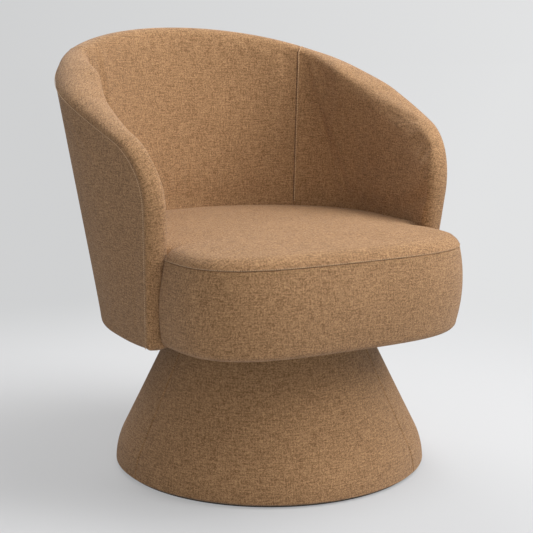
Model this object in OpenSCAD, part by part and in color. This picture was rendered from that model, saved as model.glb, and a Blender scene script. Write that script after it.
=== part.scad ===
// Swivel barrel chair, millimetres.
// Origin on the floor at the swivel axis, +Z up, the front of the seat towards -Y.

/* [Base] */
// Radius of the base at the floor
base_r = 284; // [250:1:310]
// Height of the top of the base
base_h = 241; // [225:1:255]
// Inward lean of the cone, in millimetres per millimetre of height
base_lean_share = 0.49; // [0.3:0.01:0.55]
// Radius of the curve from the foot into the straight cone
base_curve_r = 123; // [60:1:160]
// Height of the black disc under the base
plinth_h = 6; // [4:0.5:10]
// How far the disc stands back from the cloth
plinth_inset = 7; // [3:0.5:20]
// Turn of the first seam of the base from the chair's left side
base_seam_turn = 4; // [0:1:110]
// Thickness of the bottom board
base_board_t = 15; // [12:0.5:22]
// Thickness of the ribs and of the top board
base_rib_t = 18; // [12:0.5:22]
// Number of ribs
base_rib_count = 6; // [4:1:8]

/* [Swivel] */
// Side of the square swivel plates
plate_side = 180; // [170:1:200]
// Thickness of the swivel plates
plate_t = 3; // [2:0.5:4]
// Height of the swivel from plate to plate, outside
swivel_h = 24; // [22:0.5:30]
// Spacing of the plate's screw holes
plate_hole_pitch = 150; // [140:1:152]
// Radius of the circle that the balls run on
ball_path_r = 70; // [60:0.5:74]
// Diameter of a ball
ball_d = 8; // [6:0.5:9]
// Number of balls
ball_count = 18; // [8:1:24]
// Radius of the centre pin
pivot_r = 9; // [6:0.5:12]
// Running clearance of the centre pin, all round
pivot_clearance = 0.05; // [0.02:0.01:0.1]

/* [Seat] */
// How far the seat's sides lie inside the arms' outer faces
seat_side_step = 17.5; // [10:0.5:22]
// Distance from the swivel axis to the front of the seat
seat_reach = 306; // [280:1:330]
// Squareness of the seat's front corners, 2 is an ellipse
seat_corner_share = 3.4; // [2.4:0.1:4.5]
// Height of the band, from the underside of the seat to its sewn edge
seat_band_h = 150; // [130:1:170]
// Height of the crown over the sewn edge
seat_crown_rise = 28; // [20:0.5:34]
// Height over the sewn edge where the cushion meets the back
seat_rear_rise = 21; // [16:0.5:24]
// Distance over which the crown rolls in from its seam
crown_roll = 42; // [25:1:60]
// How far the band swells between its edges
seat_bulge = 9; // [2:0.5:14]
// Inward lean of the band, per millimetre below its seam
seat_taper_share = 0.02; // [0:0.005:0.04]
// Radius of the lower edge of the seat
seat_foot_r = 26; // [12:1:26]
// Height of the wooden rails under the cushion
seat_rail_h = 56; // [50:1:70]
// Thickness of a bent rail
rail_t = 18; // [12:0.5:22]

/* [Barrel] */
// Half of the width of the barrel at its widest
barrel_half_w = 320; // [300:1:340]
// Depth of the barrel behind its widest place
barrel_depth = 272; // [250:1:300]
// How far the widest place lies behind the swivel axis
barrel_centre_y = 79; // [60:1:100]
// Distance from the swivel axis forward to the arm's front
arm_front = 116; // [100:1:124]
// How far the arms turn inward at their front
arm_toe_in = 15; // [5:0.5:20]
// Forward lean of the arm's front, per millimetre of height
arm_lean_share = 0.135; // [0:0.005:0.15]
// Outward lean of the arms, per millimetre of height
side_flare_share = 0.065; // [0.02:0.001:0.1]
// Outward lean of the back, per millimetre of height
back_flare_share = 0.17; // [0.1:0.002:0.22]
// How fast the lean grows behind the arm's front, 1 grows evenly up to the back
flare_growth_share = 3.6; // [1:0.1:4]
// How far the barrel hangs below the underside of the seat
barrel_drop = 6; // [3:0.5:10]
// Height over the barrel's underside at which its plan is measured
plan_rise = 228; // [200:1:260]
// Thickness of the padded wall
shell_t = 40; // [38:0.5:48]
// Padding added inside each arm where it leaves the back
arm_fill = 40; // [0:1:50]
// Place of that padding's thickest line, from the upright seam to the arm's front
arm_fill_place_share = 0.28; // [0.2:0.02:0.5]
// Height that it adds to the soft roll over the rim
arm_fill_rise = 6; // [0:1:10]
// Height of the soft roll over the rim
rim_rise = 14; // [8:0.5:20]
// Height of the rim seam at the back, from the barrel's underside
rim_h = 523; // [480:1:550]
// Fall of the rim towards the front, per millimetre
rim_fall_share = 0.416; // [0.3:0.002:0.5]
// How far the rim dips where the back turns into the arms
rim_dip = 5.5; // [0:0.5:10]
// How fast the dip sets in towards the arms
rim_dip_growth_share = 2.5; // [2:0.1:3]
// Radius of the arm's front corner in side view
rim_corner_r = 127; // [90:1:135]
// Radius of the lower edge of the barrel
shell_foot_r = 10; // [6:0.5:14]
// Turn from the back's centre to the upright seams
seam_turn = 45; // [35:0.5:50]

/* [Layers] */
// Thickness of the cloth with its thin wadding
cloth_t = 2.5; // [1.5:0.1:3]
// Thickness of the hardboard
board_t = 2.5; // [2:0.1:3]
// Thickness of the wadding on the base
wadding_t = 6; // [4:0.5:8]
// Gap between layers that touch
lay_gap = 0.2; // [0.1:0.05:0.3]
// Gap between the bent frame and the boards nailed to it
frame_gap = 0.6; // [0.3:0.1:0.9]
// Gap under the soft roll of the rim
rim_gap = 1.4; // [0.4:0.1:1.6]
// Gap between the seat and the arm's front
arm_gap = 1; // [0.5:0.1:2]

/* [Hidden] */

cloth_colour = [0.57, 0.44, 0.32];
foam_colour = [0.93, 0.89, 0.74];
wood_colour = [0.78, 0.64, 0.45];
steel_colour = [0.62, 0.63, 0.65];
black_colour = [0.05, 0.05, 0.05];
strap_colour = [0.2, 0.19, 0.18];

// Steps along the curves
round_fn = 96;
hole_fn = 40;
rear_steps = 5;
side_steps = 8;
corner_steps = 5;
wall_rows = 3;
roll_steps = 6;
front_curve_steps = 10;
base_curve_steps = 5;
foot_steps = 3;
// One overrun serves every cut
cut = 1;

// Layers of the barrel wall, measured inward from its outer face
outer_board_d = cloth_t + lay_gap;
frame_d = outer_board_d + board_t + frame_gap;
frame_in_d = frame_d + rail_t;
inner_board_d = frame_in_d + frame_gap;
foam_d = inner_board_d + board_t + lay_gap;
foam_in_d = shell_t - cloth_t - lay_gap;
seat_rail_d = frame_in_d + frame_gap;
seat_rail_in_d = seat_rail_d + rail_t;

// Heights that follow
base_top_z = base_h - cloth_t - lay_gap;
swivel_z = base_top_z;
platform_z = swivel_z + swivel_h;
platform_t = rail_t;
seat_bottom_z = platform_z - cloth_t / 2;
seat_seam_z = seat_bottom_z + seat_band_h;
seat_crown_z = seat_seam_z + seat_crown_rise;
seat_rear_z = seat_seam_z + seat_rear_rise;
rail_bottom_z = seat_bottom_z + cloth_t + lay_gap;
deck_z = rail_bottom_z + seat_rail_h;
shell_bottom_z = seat_bottom_z - barrel_drop;
plan_z = shell_bottom_z + plan_rise;
rim_top_z = shell_bottom_z + rim_h;
shell_rail_z = shell_bottom_z + cloth_t + lay_gap;
shell_rail_top_z = deck_z - lay_gap;
strap_t = 1.5;
strap_w = 60;
foam_bottom_z = deck_z + 2 * strap_t + 2 * lay_gap;
inner_bottom_z = foam_bottom_z;

// Plan of the barrel. t runs from -1 at the left arm's front, over 0 at the middle of the back, to 1.
side_len = barrel_centre_y + arm_front;
back_len = (barrel_half_w + barrel_depth) / 2 * PI / 2;
back_share = back_len / (back_len + side_len);
arm_len = side_len + back_len;
seam_t = back_share * seam_turn / 90;

function sweep_angle(t) = 90 * min(abs(t) / back_share, 1);
function ahead(t) = max(abs(t) - back_share, 0) / (1 - back_share);
function plan_x(t) = sign(t) * (barrel_half_w * sin(sweep_angle(t)) - arm_toe_in * pow(ahead(t), 2));
function plan_y(t) = barrel_centre_y + barrel_depth * cos(sweep_angle(t)) - ahead(t) * side_len;
function out_dir(t) =
    let (a = sweep_angle(t), v = [sign(t) * sin(a) / barrel_half_w, cos(a) / barrel_depth]) v / norm(v);
function flare(t) =
    let (share = (plan_y(t) + arm_front) / (side_len + barrel_depth))
    back_flare_share - (back_flare_share - side_flare_share) * pow(1 - share, flare_growth_share);
// Point of the wall at place t and height z, d inward from the outer face
function wall_point(t, z, d) =
    let (n = out_dir(t), h = z - plan_z, k = flare(t) * h - d)
    [plan_x(t) + n[0] * k, plan_y(t) + n[1] * k - arm_lean_share * ahead(t) * h, z];
function t_at(y, z = plan_z) =
    back_share + (1 - back_share) * (barrel_centre_y - y) / (side_len + arm_lean_share * (z - plan_z));

// Share of the arm's added padding at place t
function fill_share(t) =
    let (u = max(abs(t) - seam_t, 0) / (1 - seam_t), peak = arm_fill_place_share,
        x = u < peak ? u / peak : (1 - u) / (1 - peak))
    pow(sin(90 * x), 2);
// Its thickness at height z under a rim at height top: it thins to nothing above the seat, at the last row
function face_fill(t, z, top) = arm_fill * fill_share(t)
    * max(1 - (top - z) / (top - inner_bottom_z) * wall_rows / (wall_rows - 1), 0);

// The rim seam in side view: a straight fall, then an arc down into the arm's front
rim_plan_z = (plan_z + rim_top_z) / 2;
function line_y(t) = plan_y(t) + out_dir(t)[1] * flare(t) * (rim_plan_z - plan_z);
function rim_z(t) =
    rim_top_z - rim_fall_share * (line_y(0) - line_y(t))
    - rim_dip * pow(sin(180 * pow(sweep_angle(t) / 90, rim_dip_growth_share)), 2);
rim_fall_angle = atan(rim_fall_share);
corner_y = rim_corner_r - arm_front;
corner_z = rim_top_z - rim_fall_share * (line_y(0) - corner_y) - rim_corner_r / cos(rim_fall_angle);
arc_t = t_at(corner_y - rim_corner_r * sin(rim_fall_angle));
function corner_point(share) =
    let (a = rim_fall_angle + (90 - rim_fall_angle) * share)
    [t_at(corner_y - rim_corner_r * sin(a)), corner_z + rim_corner_r * cos(a)];

// Stations along the seam line of the right half, [t, z], from the back to the foot of the arm's front
centre_line = [for (i = [0 : rear_steps]) let (t = seam_t * i / rear_steps) [t, rim_z(t)]];
side_line = concat(
    [for (i = [0 : side_steps]) let (t = seam_t + (arc_t - seam_t) * i / side_steps) [t, rim_z(t)]],
    [for (i = [1 : corner_steps]) corner_point(i / corner_steps)]);
front_line = [for (i = [1 : wall_rows]) [1, corner_z + (inner_bottom_z - corner_z) * i / wall_rows]];
foot_line = [[1, (inner_bottom_z + shell_bottom_z) / 2], [1, shell_bottom_z]];
function tail(list, first) = [for (i = [first : len(list) - 1]) list[i]];
function back_to_front(list) = [for (i = [len(list) - 1 : -1 : 0]) list[i]];
function mirror_line(list) = [for (p = back_to_front(list)) [-p[0], p[1]]];
top_line = concat(centre_line, tail(side_line, 1));
half_line = concat(top_line, front_line, foot_line);
whole_line = concat(mirror_line(half_line), tail(half_line, 1));
whole_top_line = concat(mirror_line(top_line), tail(top_line, 1));

// The same line kept a hair inside the arm's front, for the layers that end behind its soft roll
edge_t = 1 - lay_gap / arm_len;
function inside(line) = [for (p = line) [max(min(p[0], edge_t), -edge_t), p[1]]];

// Direction in the wall's own surface that points out over the edge, at station i of the whole line
edge_points = [for (p = whole_line) wall_point(p[0], p[1], 0)];
function edge_out(i) =
    let (a = edge_points[max(i - 1, 0)], b = edge_points[min(i + 1, len(edge_points) - 1)],
        n = out_dir(whole_line[i][0]), u = cross(b - a, [n[0], n[1], 0]))
    u / norm(u);
// Point of the soft roll at station i: angle 0 at the outer seam, 180 at the inner face, depth below its skin
function roll_point(i, angle, depth) =
    let (t = whole_line[i][0], n = out_dir(t), middle = (shell_t + arm_fill * fill_share(t)) / 2,
        in = middle - (middle - depth) * cos(angle),
        up = (rim_rise + arm_fill_rise * fill_share(t) - depth) * sin(angle))
    edge_points[i] - [n[0], n[1], 0] * in + edge_out(i) * up;

function flat(list) = [for (a = list) for (b = a) b];
function quad(p, q, r, s, flip = false) = flip ? [[p, q, s], [q, r, s]] : [[p, q, r], [p, r, s]];

// Closed slab between two grids of points, both [column][row]; seen from outside, columns run from right to
// left and rows run down
module slab(outer, inner) {
    nu = len(outer) - 1;
    nv = len(outer[0]) - 1;
    m = nv + 1;
    o = (nu + 1) * m;
    // The left half splits its squares the mirrored way, so that layers lie true on each other
    left = [for (i = [0 : nu - 1]) outer[i][0][0] + outer[i + 1][0][0] < 0];
    faces = concat(
        [for (i = [0 : nu - 1]) for (j = [0 : nv - 1])
            each quad(i * m + j, i * m + j + 1, (i + 1) * m + j + 1, (i + 1) * m + j, left[i])],
        [for (i = [0 : nu - 1]) for (j = [0 : nv - 1])
            each quad(o + i * m + j, o + (i + 1) * m + j, o + (i + 1) * m + j + 1, o + i * m + j + 1, left[i])],
        [for (i = [0 : nu - 1]) each quad(i * m, (i + 1) * m, o + (i + 1) * m, o + i * m, left[i])],
        [for (i = [0 : nu - 1])
            each quad(o + i * m + nv, o + (i + 1) * m + nv, (i + 1) * m + nv, i * m + nv, !left[i])],
        [for (j = [0 : nv - 1]) each quad(j + 1, j, o + j, o + j + 1)],
        [for (j = [0 : nv - 1])
            each quad(nu * m + j, nu * m + j + 1, o + nu * m + j + 1, o + nu * m + j)]);
    polyhedron(concat(flat(outer), flat(inner)), faces);
}

// Closed solid from a stack of rings, each counterclockwise from above, closed by a fan at both ends
module stack(rings, low, high) {
    m = len(rings[0]);
    k = len(rings);
    faces = concat(
        [for (r = [0 : k - 2]) for (i = [0 : m - 1])
            let (n = (i + 1) % m)
            each quad(r * m + i, (r + 1) * m + i, (r + 1) * m + n, r * m + n)],
        [for (i = [0 : m - 1]) [i, (i + 1) % m, k * m]],
        [for (i = [0 : m - 1]) [(k - 1) * m + (i + 1) % m, (k - 1) * m + i, k * m + 1]]);
    polyhedron(concat(flat(rings), [low, high]), faces);
}

// Sheet of even thickness over rings that run from its edge inward, each counterclockwise from above
module cap(rings, middle, thick) {
    m = len(rings[0]);
    k = len(rings);
    o = m * k + 1;
    upper = concat(
        [for (r = [0 : k - 2]) for (i = [0 : m - 1])
            let (n = (i + 1) % m)
            each quad(r * m + i, (r + 1) * m + i, (r + 1) * m + n, r * m + n)],
        [for (i = [0 : m - 1]) [(k - 1) * m + (i + 1) % m, (k - 1) * m + i, k * m]]);
    faces = concat(
        upper,
        [for (f = upper) [f[0] + o, f[2] + o, f[1] + o]],
        [for (i = [0 : m - 1]) let (n = (i + 1) % m) each quad(i, n, n + o, i + o)]);
    points = concat(flat(rings), [middle]);
    polyhedron(concat(points, [for (p = points) p - [0, 0, thick]]), faces);
}

// Closed bar through a row of closed sections, each a convex loop
module bar(sections) {
    m = len(sections[0]);
    k = len(sections);
    left = [for (r = [0 : k - 2]) sections[r][0][0] + sections[r + 1][0][0] < 0];
    faces = concat(
        [for (r = [0 : k - 2]) for (i = [0 : m - 2])
            each quad(r * m + i, r * m + i + 1, (r + 1) * m + i + 1, (r + 1) * m + i, left[r])],
        [for (r = [0 : k - 2])
            each quad(r * m + m - 1, r * m, (r + 1) * m, (r + 1) * m + m - 1, !left[r])],
        [for (i = [1 : m - 2]) [0, i + 1, i]],
        [for (i = [1 : m - 2]) [(k - 1) * m, (k - 1) * m + i, (k - 1) * m + i + 1]]);
    polyhedron(flat(sections), faces);
}

// Wall layer over the stations of a line, from depth d_out to depth d_in, down to height low
module wall_layer(line, d_out, d_in, low, rows, drop = rim_gap, filled = false) {
    function column(p, d, added = false) = [for (j = [0 : rows])
        let (top = p[1] - drop, z = top + (low - top) * j / rows)
        wall_point(p[0], z, added ? d + face_fill(p[0], z, p[1]) : d)];
    slab([for (p = inside(line)) column(p, d_out)], [for (p = inside(line)) column(p, d_in, filled)]);
}

// Base

base_curve_angle = atan(base_lean_share);
base_curve_rise = base_curve_r * sin(base_curve_angle);
base_curve_drop = base_curve_r * (1 - cos(base_curve_angle));
function base_radius(z) =
    let (h = z - plinth_h)
    h < base_curve_rise
        ? base_r - base_curve_r + sqrt(pow(base_curve_r, 2) - pow(h, 2))
        : base_r - base_curve_drop - base_lean_share * (h - base_curve_rise);
function base_side(inset, low, high) = [for (i = [0 : base_curve_steps + 1])
    let (z = i > base_curve_steps ? high : low + (plinth_h + base_curve_rise - low) * i / base_curve_steps)
    [base_radius(z) - inset, z]];

module base_layer(inset, thick, low, high) {
    rotate_extrude($fn = round_fn)
        polygon(concat(base_side(inset, low, high), back_to_front(base_side(inset + thick, low, high))));
}

wadding_inset = cloth_t + lay_gap;
base_shell_inset = wadding_inset + wadding_t + lay_gap;
frame_inset = base_shell_inset + board_t + frame_gap;
base_board_z = plinth_h + cloth_t + lay_gap;
base_rib_z = base_board_z + base_board_t;
base_top_board_z = base_top_z - base_rib_t;
turn_in = 40;
hem = 30;

module plinth_disc() {
    color(black_colour)
        cylinder(h = plinth_h, r = base_r - plinth_inset, $fn = round_fn);
}

module base_bottom_board() {
    color(wood_colour)
        translate([0, 0, base_board_z])
            cylinder(h = base_board_t, r = base_radius(base_rib_z) - frame_inset, $fn = round_fn);
}

module base_top_board() {
    color(wood_colour)
        difference() {
            translate([0, 0, base_top_board_z])
                cylinder(h = base_rib_t, r = base_radius(base_top_z) - frame_inset, $fn = round_fn);
            translate([0, 0, base_top_board_z - cut])
                cylinder(h = base_rib_t + 2 * cut, r = pivot_pocket_r, $fn = hole_fn);
            plate_holes(base_top_board_z - cut, base_rib_t + 2 * cut, screw_r + lay_gap);
        }
}

rib_hub_r = 60;
module base_ribs() {
    low = base_rib_z + lay_gap;
    high = base_top_board_z - lay_gap;
    color(wood_colour)
        for (i = [0 : base_rib_count - 1])
            rotate([90, 0, 360 * i / base_rib_count])
                translate([0, 0, -base_rib_t / 2])
                    linear_extrude(base_rib_t)
                        polygon(concat(
                            [[rib_hub_r, low]], base_side(frame_inset, low, high), [[rib_hub_r, high]]));
}

module base_shell() {
    color(wood_colour)
        base_layer(base_shell_inset, board_t, base_board_z, base_top_z);
}

module base_wadding() {
    color(foam_colour)
        base_layer(wadding_inset, wadding_t, base_board_z, base_top_z);
}

// Cloth panel over a third of the base, turned in under the boards at both ends
module base_panel(index) {
    gap_angle = atan(lay_gap / base_r);
    outside = base_side(0, plinth_h, base_h);
    inside = base_side(cloth_t, base_board_z - lay_gap, base_h - cloth_t);
    color(cloth_colour)
        rotate([0, 0, 180 + base_seam_turn + 120 * index + gap_angle])
            rotate_extrude(angle = 120 - 2 * gap_angle, $fn = round_fn)
                polygon(concat(
                    [[base_r - turn_in, plinth_h]], outside, [[base_radius(base_h) - hem, base_h]],
                    [[base_radius(base_h) - hem, base_h - cloth_t]], back_to_front(inside),
                    [[base_r - turn_in, plinth_h + cloth_t]]));
}

module base_cover_front() { base_panel(0); }
module base_cover_right() { base_panel(1); }
module base_cover_rear() { base_panel(2); }

// Swivel

screw_r = 3;
screw_head_r = 6;
screw_head_t = 3;
screw_len = 18;
bolt_r = 3;
bolt_head_r = 6;
bolt_head_t = 4;
nut_r = 4.5;
nut_flange_r = 9;
nut_flange_t = 1.5;
pivot_head_r = 14;
pivot_head_t = 3;
pivot_pocket_r = 20;
plate_corner_r = 15;
race_half_w = 12;
ball_gap = 0.1;
cage_t = 1.2;
cage_half_w = 7;
ball_z = swivel_z + swivel_h / 2;
race_gap = 4.8;
race_reach = race_gap / 2;

module plate_holes(z, h, r) {
    for (x = [-1, 1], y = [-1, 1])
        translate([x * plate_hole_pitch / 2, y * plate_hole_pitch / 2, z])
            cylinder(h = h, r = r, $fn = hole_fn);
}

module swivel_plate(z) {
    inner = plate_side - 2 * plate_corner_r;
    difference() {
        translate([0, 0, z])
            linear_extrude(plate_t)
                union() {
                    square([plate_side, inner], center = true);
                    square([inner, plate_side], center = true);
                    for (x = [-1, 1], y = [-1, 1])
                        translate([x * inner / 2, y * inner / 2])
                            circle(plate_corner_r, $fn = hole_fn);
                }
        translate([0, 0, z - cut])
            cylinder(h = plate_t + 2 * cut, r = pivot_r + pivot_clearance, $fn = hole_fn);
        plate_holes(z - cut, plate_t + 2 * cut, screw_r + lay_gap);
    }
}

// Ring with a round groove that the balls run in, between two heights
module race(low, high) {
    rotate_extrude($fn = round_fn)
        difference() {
            translate([ball_path_r - race_half_w, low])
                square([2 * race_half_w, high - low]);
            translate([ball_path_r, ball_z])
                circle(ball_d / 2 + ball_gap, $fn = hole_fn);
        }
}

module swivel_base_plate() { color(steel_colour) swivel_plate(swivel_z); }
module swivel_top_plate() { color(steel_colour) swivel_plate(platform_z - plate_t); }
module swivel_lower_race() { color(steel_colour) race(swivel_z + plate_t, ball_z - race_reach); }
module swivel_upper_race() { color(steel_colour) race(ball_z + race_reach, platform_z - plate_t); }

module swivel_base_screws() {
    color(steel_colour)
        for (x = [-1, 1], y = [-1, 1])
            translate([x * plate_hole_pitch / 2, y * plate_hole_pitch / 2, swivel_z + plate_t]) {
                cylinder(h = screw_head_t, r = screw_head_r, $fn = hole_fn);
                translate([0, 0, -screw_len])
                    cylinder(h = screw_len + screw_head_t / 2, r = screw_r, $fn = hole_fn);
            }
}

module swivel_pivot() {
    low = swivel_z - pivot_head_t;
    high = platform_z + ball_gap;
    color(steel_colour)
        rotate_extrude($fn = round_fn)
            polygon([[0, low], [pivot_head_r, low], [pivot_head_r, swivel_z], [pivot_r, swivel_z],
                [pivot_r, high], [pivot_head_r, high], [pivot_head_r, high + pivot_head_t],
                [0, high + pivot_head_t]]);
}

module swivel_balls() {
    color(steel_colour)
        for (i = [0 : ball_count - 1])
            rotate([0, 0, 360 * i / ball_count])
                translate([ball_path_r, 0, ball_z])
                    sphere(d = ball_d, $fn = hole_fn);
}

module swivel_ball_cage() {
    color(steel_colour)
        difference() {
            rotate_extrude($fn = round_fn)
                translate([ball_path_r - cage_half_w, ball_z - cage_t / 2])
                    square([2 * cage_half_w, cage_t]);
            for (i = [0 : ball_count - 1])
                rotate([0, 0, 360 * i / ball_count])
                    translate([ball_path_r, 0, ball_z - cage_t])
                        cylinder(h = 2 * cage_t, r = ball_d / 2 + ball_gap, $fn = hole_fn);
        }
}

module swivel_top_bolts() {
    color(steel_colour)
        for (x = [-1, 1], y = [-1, 1])
            translate([x * plate_hole_pitch / 2, y * plate_hole_pitch / 2, platform_z - plate_t]) {
                translate([0, 0, -bolt_head_t])
                    cylinder(h = bolt_head_t, r = bolt_head_r, $fn = hole_fn);
                translate([0, 0, -bolt_head_t / 2])
                    cylinder(h = bolt_head_t / 2 + plate_t + platform_t, r = bolt_r, $fn = hole_fn);
            }
}

module swivel_tee_nuts() {
    color(steel_colour)
        for (x = [-1, 1], y = [-1, 1])
            translate([x * plate_hole_pitch / 2, y * plate_hole_pitch / 2, platform_z])
                difference() {
                    union() {
                        translate([0, 0, platform_t / 2])
                            cylinder(h = platform_t / 2 + nut_flange_t, r = nut_r, $fn = hole_fn);
                        translate([0, 0, platform_t])
                            cylinder(h = nut_flange_t, r = nut_flange_r, $fn = hole_fn);
                    }
                    translate([0, 0, -cut])
                        cylinder(h = platform_t + nut_flange_t + 2 * cut, r = bolt_r + pivot_clearance,
                            $fn = hole_fn);
                }
}

// Seat

seat_mid_z = (seat_bottom_z + seat_seam_z) / 2;
seat_half_h = (seat_seam_z - seat_bottom_z) / 2;
// The seat's sides keep clear of the barrel's inner face, which leans
seat_side_d = shell_t + 6 * lay_gap;
function arm_x(z, d) = wall_point(1, z, d)[0];
seat_half_w = arm_x(seat_mid_z, 0) - seat_side_step;
rail_lap = 60;
rail_x = min(arm_x(rail_bottom_z, shell_t + lay_gap),
    wall_point(t_at(-rail_lap, rail_bottom_z), rail_bottom_z, seat_rail_in_d + frame_gap)[0]);
band_low_z = seat_bottom_z + seat_foot_r;
rail_inset = max(seat_half_w - rail_x, seat_swell(band_low_z) + seat_foot_r) + 2 * frame_gap;
function ear_y(z) = arm_front + arm_lean_share * (z - plan_z) + rim_rise + arm_gap;

function seat_swell(z) =
    seat_bulge * pow((z - seat_mid_z) / seat_half_h, 2) + seat_taper_share * (seat_seam_z - z);
// Front edge of the seat from the right ear round to the left one
function seat_front(inset, z) = [for (i = [-front_curve_steps : front_curve_steps])
    let (a = -90 * i / front_curve_steps, p = 2 / seat_corner_share)
    [(seat_half_w - inset) * sign(a) * pow(abs(sin(a)), p),
        -ear_y(z) - inset - (seat_reach - ear_y(z) - 2 * inset) * pow(abs(cos(a)), p)]];
// The same with the ears' back faces, which stop at the arm's inner face
function ear_front(inset, d, z) =
    let (x = min(arm_x(z, d), seat_half_w - inset - lay_gap))
    concat([[x, -ear_y(z) - inset]], seat_front(inset, z), [[-x, -ear_y(z) - inset]]);
function lift(points, z) = [for (p = points) [p[0], p[1], z]];
function drop_z(points) = [for (p = points) [p[0], p[1]]];
// Whole outline, counterclockwise from above, lying d inside the barrel's outer face at its back
back_line = tail(top_line, 1);
function seat_back(d, z) = concat(
    [for (p = back_to_front(back_line)) wall_point(p[0], z, d)],
    [for (p = concat([[0, 0]], back_line)) wall_point(-p[0], z, d)]);
function seat_loop(inset, d, front_z, back_z) = concat(
    lift(back_to_front(ear_front(inset, d, front_z)), front_z), seat_back(d, back_z));
// Flat panel's outline: inset at the front, straight past the ears, then d inside the outer face at the back
function deck_outline(inset, d, z) =
    let (x = seat_half_w - inset, y = -rail_lap + lay_gap)
    concat(
        back_to_front(seat_front(inset, z)), [[x, y]],
        [for (w = seat_back(d, z)) if (w[1] > y) [w[0], w[1]]], [[-x, y]]);

module strap_area() { polygon(deck_outline(rail_inset + lay_gap, seat_rail_d + rail_t / 2, deck_z)); }

module seat_platform() {
    color(wood_colour)
        difference() {
            translate([0, 0, platform_z])
                linear_extrude(platform_t)
                    polygon(deck_outline(rail_inset + rail_t + lay_gap, seat_rail_in_d + lay_gap, platform_z));
            translate([0, 0, platform_z - cut])
                cylinder(h = platform_t + 2 * cut, r = pivot_pocket_r, $fn = hole_fn);
            plate_holes(platform_z - cut, platform_t + 2 * cut, nut_r + lay_gap);
        }
}

// Bent rail round the seat's front; its ends run back to lap the rail inside the barrel
module seat_front_rail() {
    function path(inset) = concat(
        [[seat_half_w - inset, -rail_lap]], seat_front(inset, deck_z), [[inset - seat_half_w, -rail_lap]]);
    function columns(inset) = [for (p = path(inset)) [[p[0], p[1], deck_z], [p[0], p[1], rail_bottom_z]]];
    color(wood_colour)
        slab(columns(rail_inset), columns(rail_inset + rail_t));
}

module seat_back_rail() {
    line = [for (p = whole_top_line) [p[0], deck_z]];
    color(wood_colour)
        difference() {
            wall_layer(line, seat_rail_d, seat_rail_in_d, seat_bottom_z, 1, 0);
            bolt_holes();
        }
}

// Glue block in the wedge between the two rails where they lap
block_len = 20;
block_ys = [-rail_lap - lay_gap, -rail_lap - block_len];
module right_corner_block() {
    x = rail_x + lay_gap;
    slab(
        [for (y = block_ys) [for (z = [deck_z, rail_bottom_z])
            wall_point(t_at(y, z), z, seat_rail_in_d + lay_gap)]],
        [for (y = block_ys) [for (z = [deck_z, rail_bottom_z]) [x, y, z]]]);
}

module corner_blocks() {
    color(wood_colour) {
        right_corner_block();
        mirror([1, 0, 0]) right_corner_block();
    }
}

strap_pitch = 95;
module seat_webbing_long() {
    color(strap_colour)
        translate([0, 0, deck_z + lay_gap / 2])
            linear_extrude(strap_t)
                intersection() {
                    strap_area();
                    for (i = [-2 : 2])
                        translate([i * strap_pitch - strap_w / 2, -seat_reach])
                            square([strap_w, seat_reach + line_y(0)]);
                }
}

module seat_webbing_cross() {
    color(strap_colour)
        translate([0, 0, deck_z + strap_t + lay_gap])
            linear_extrude(strap_t)
                intersection() {
                    strap_area();
                    for (i = [-2 : 2])
                        translate([-barrel_half_w, i * strap_pitch - strap_w / 2])
                            square([2 * barrel_half_w, strap_w]);
                }
}

band_high_z = seat_seam_z - cloth_t - lay_gap;
// Inset of the band's skin at height z, depth below its outer face
function band_inset(z, depth) =
    z > band_low_z ? seat_swell(z) + depth
    : seat_swell(band_low_z) + seat_foot_r - sqrt(pow(seat_foot_r - depth, 2) - pow(band_low_z - z, 2));

module seat_edge_padding() {
    depth = cloth_t + frame_gap;
    zs = concat([deck_z, (deck_z + band_low_z) / 2],
        [for (j = [0 : foot_steps - 1]) band_low_z - (seat_foot_r - depth) * sin(90 * j / foot_steps)]);
    outer = [for (z = zs) lift(seat_front(band_inset(z, depth), z), z)];
    inner = [for (z = zs) lift(seat_front(rail_inset - lay_gap, deck_z), z)];
    function turned(rows) = [for (i = [0 : 2 * front_curve_steps]) [for (row = rows) row[i]]];
    color(foam_colour)
        slab(turned(outer), turned(inner));
}

band_rows = 5;
// Profile of the band from its seam down and under the rail, as [inset, height], depth below its outer face
function band_profile(depth) = concat(
    [for (j = [0 : band_rows])
        let (z = band_high_z + (band_low_z - band_high_z) * j / band_rows) [seat_swell(z) + depth, z]],
    [for (j = [1 : foot_steps])
        let (a = 90 * j / foot_steps, r = seat_foot_r - depth)
        [seat_swell(band_low_z) + seat_foot_r - r * cos(a), band_low_z - r * sin(a)]],
    [[rail_inset + rail_t - lay_gap, seat_bottom_z + depth]]);

module seat_cover_band() {
    function grid(depth) =
        let (profile = band_profile(depth),
            loops = [for (q = profile) ear_front(q[0], seat_side_d, q[1])])
        [for (i = [0 : len(loops[0]) - 1]) [for (j = [0 : len(profile) - 1])
            [loops[j][i][0], loops[j][i][1], profile[j][1]]]];
    color(cloth_colour)
        slab(grid(0), grid(cloth_t));
}

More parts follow.
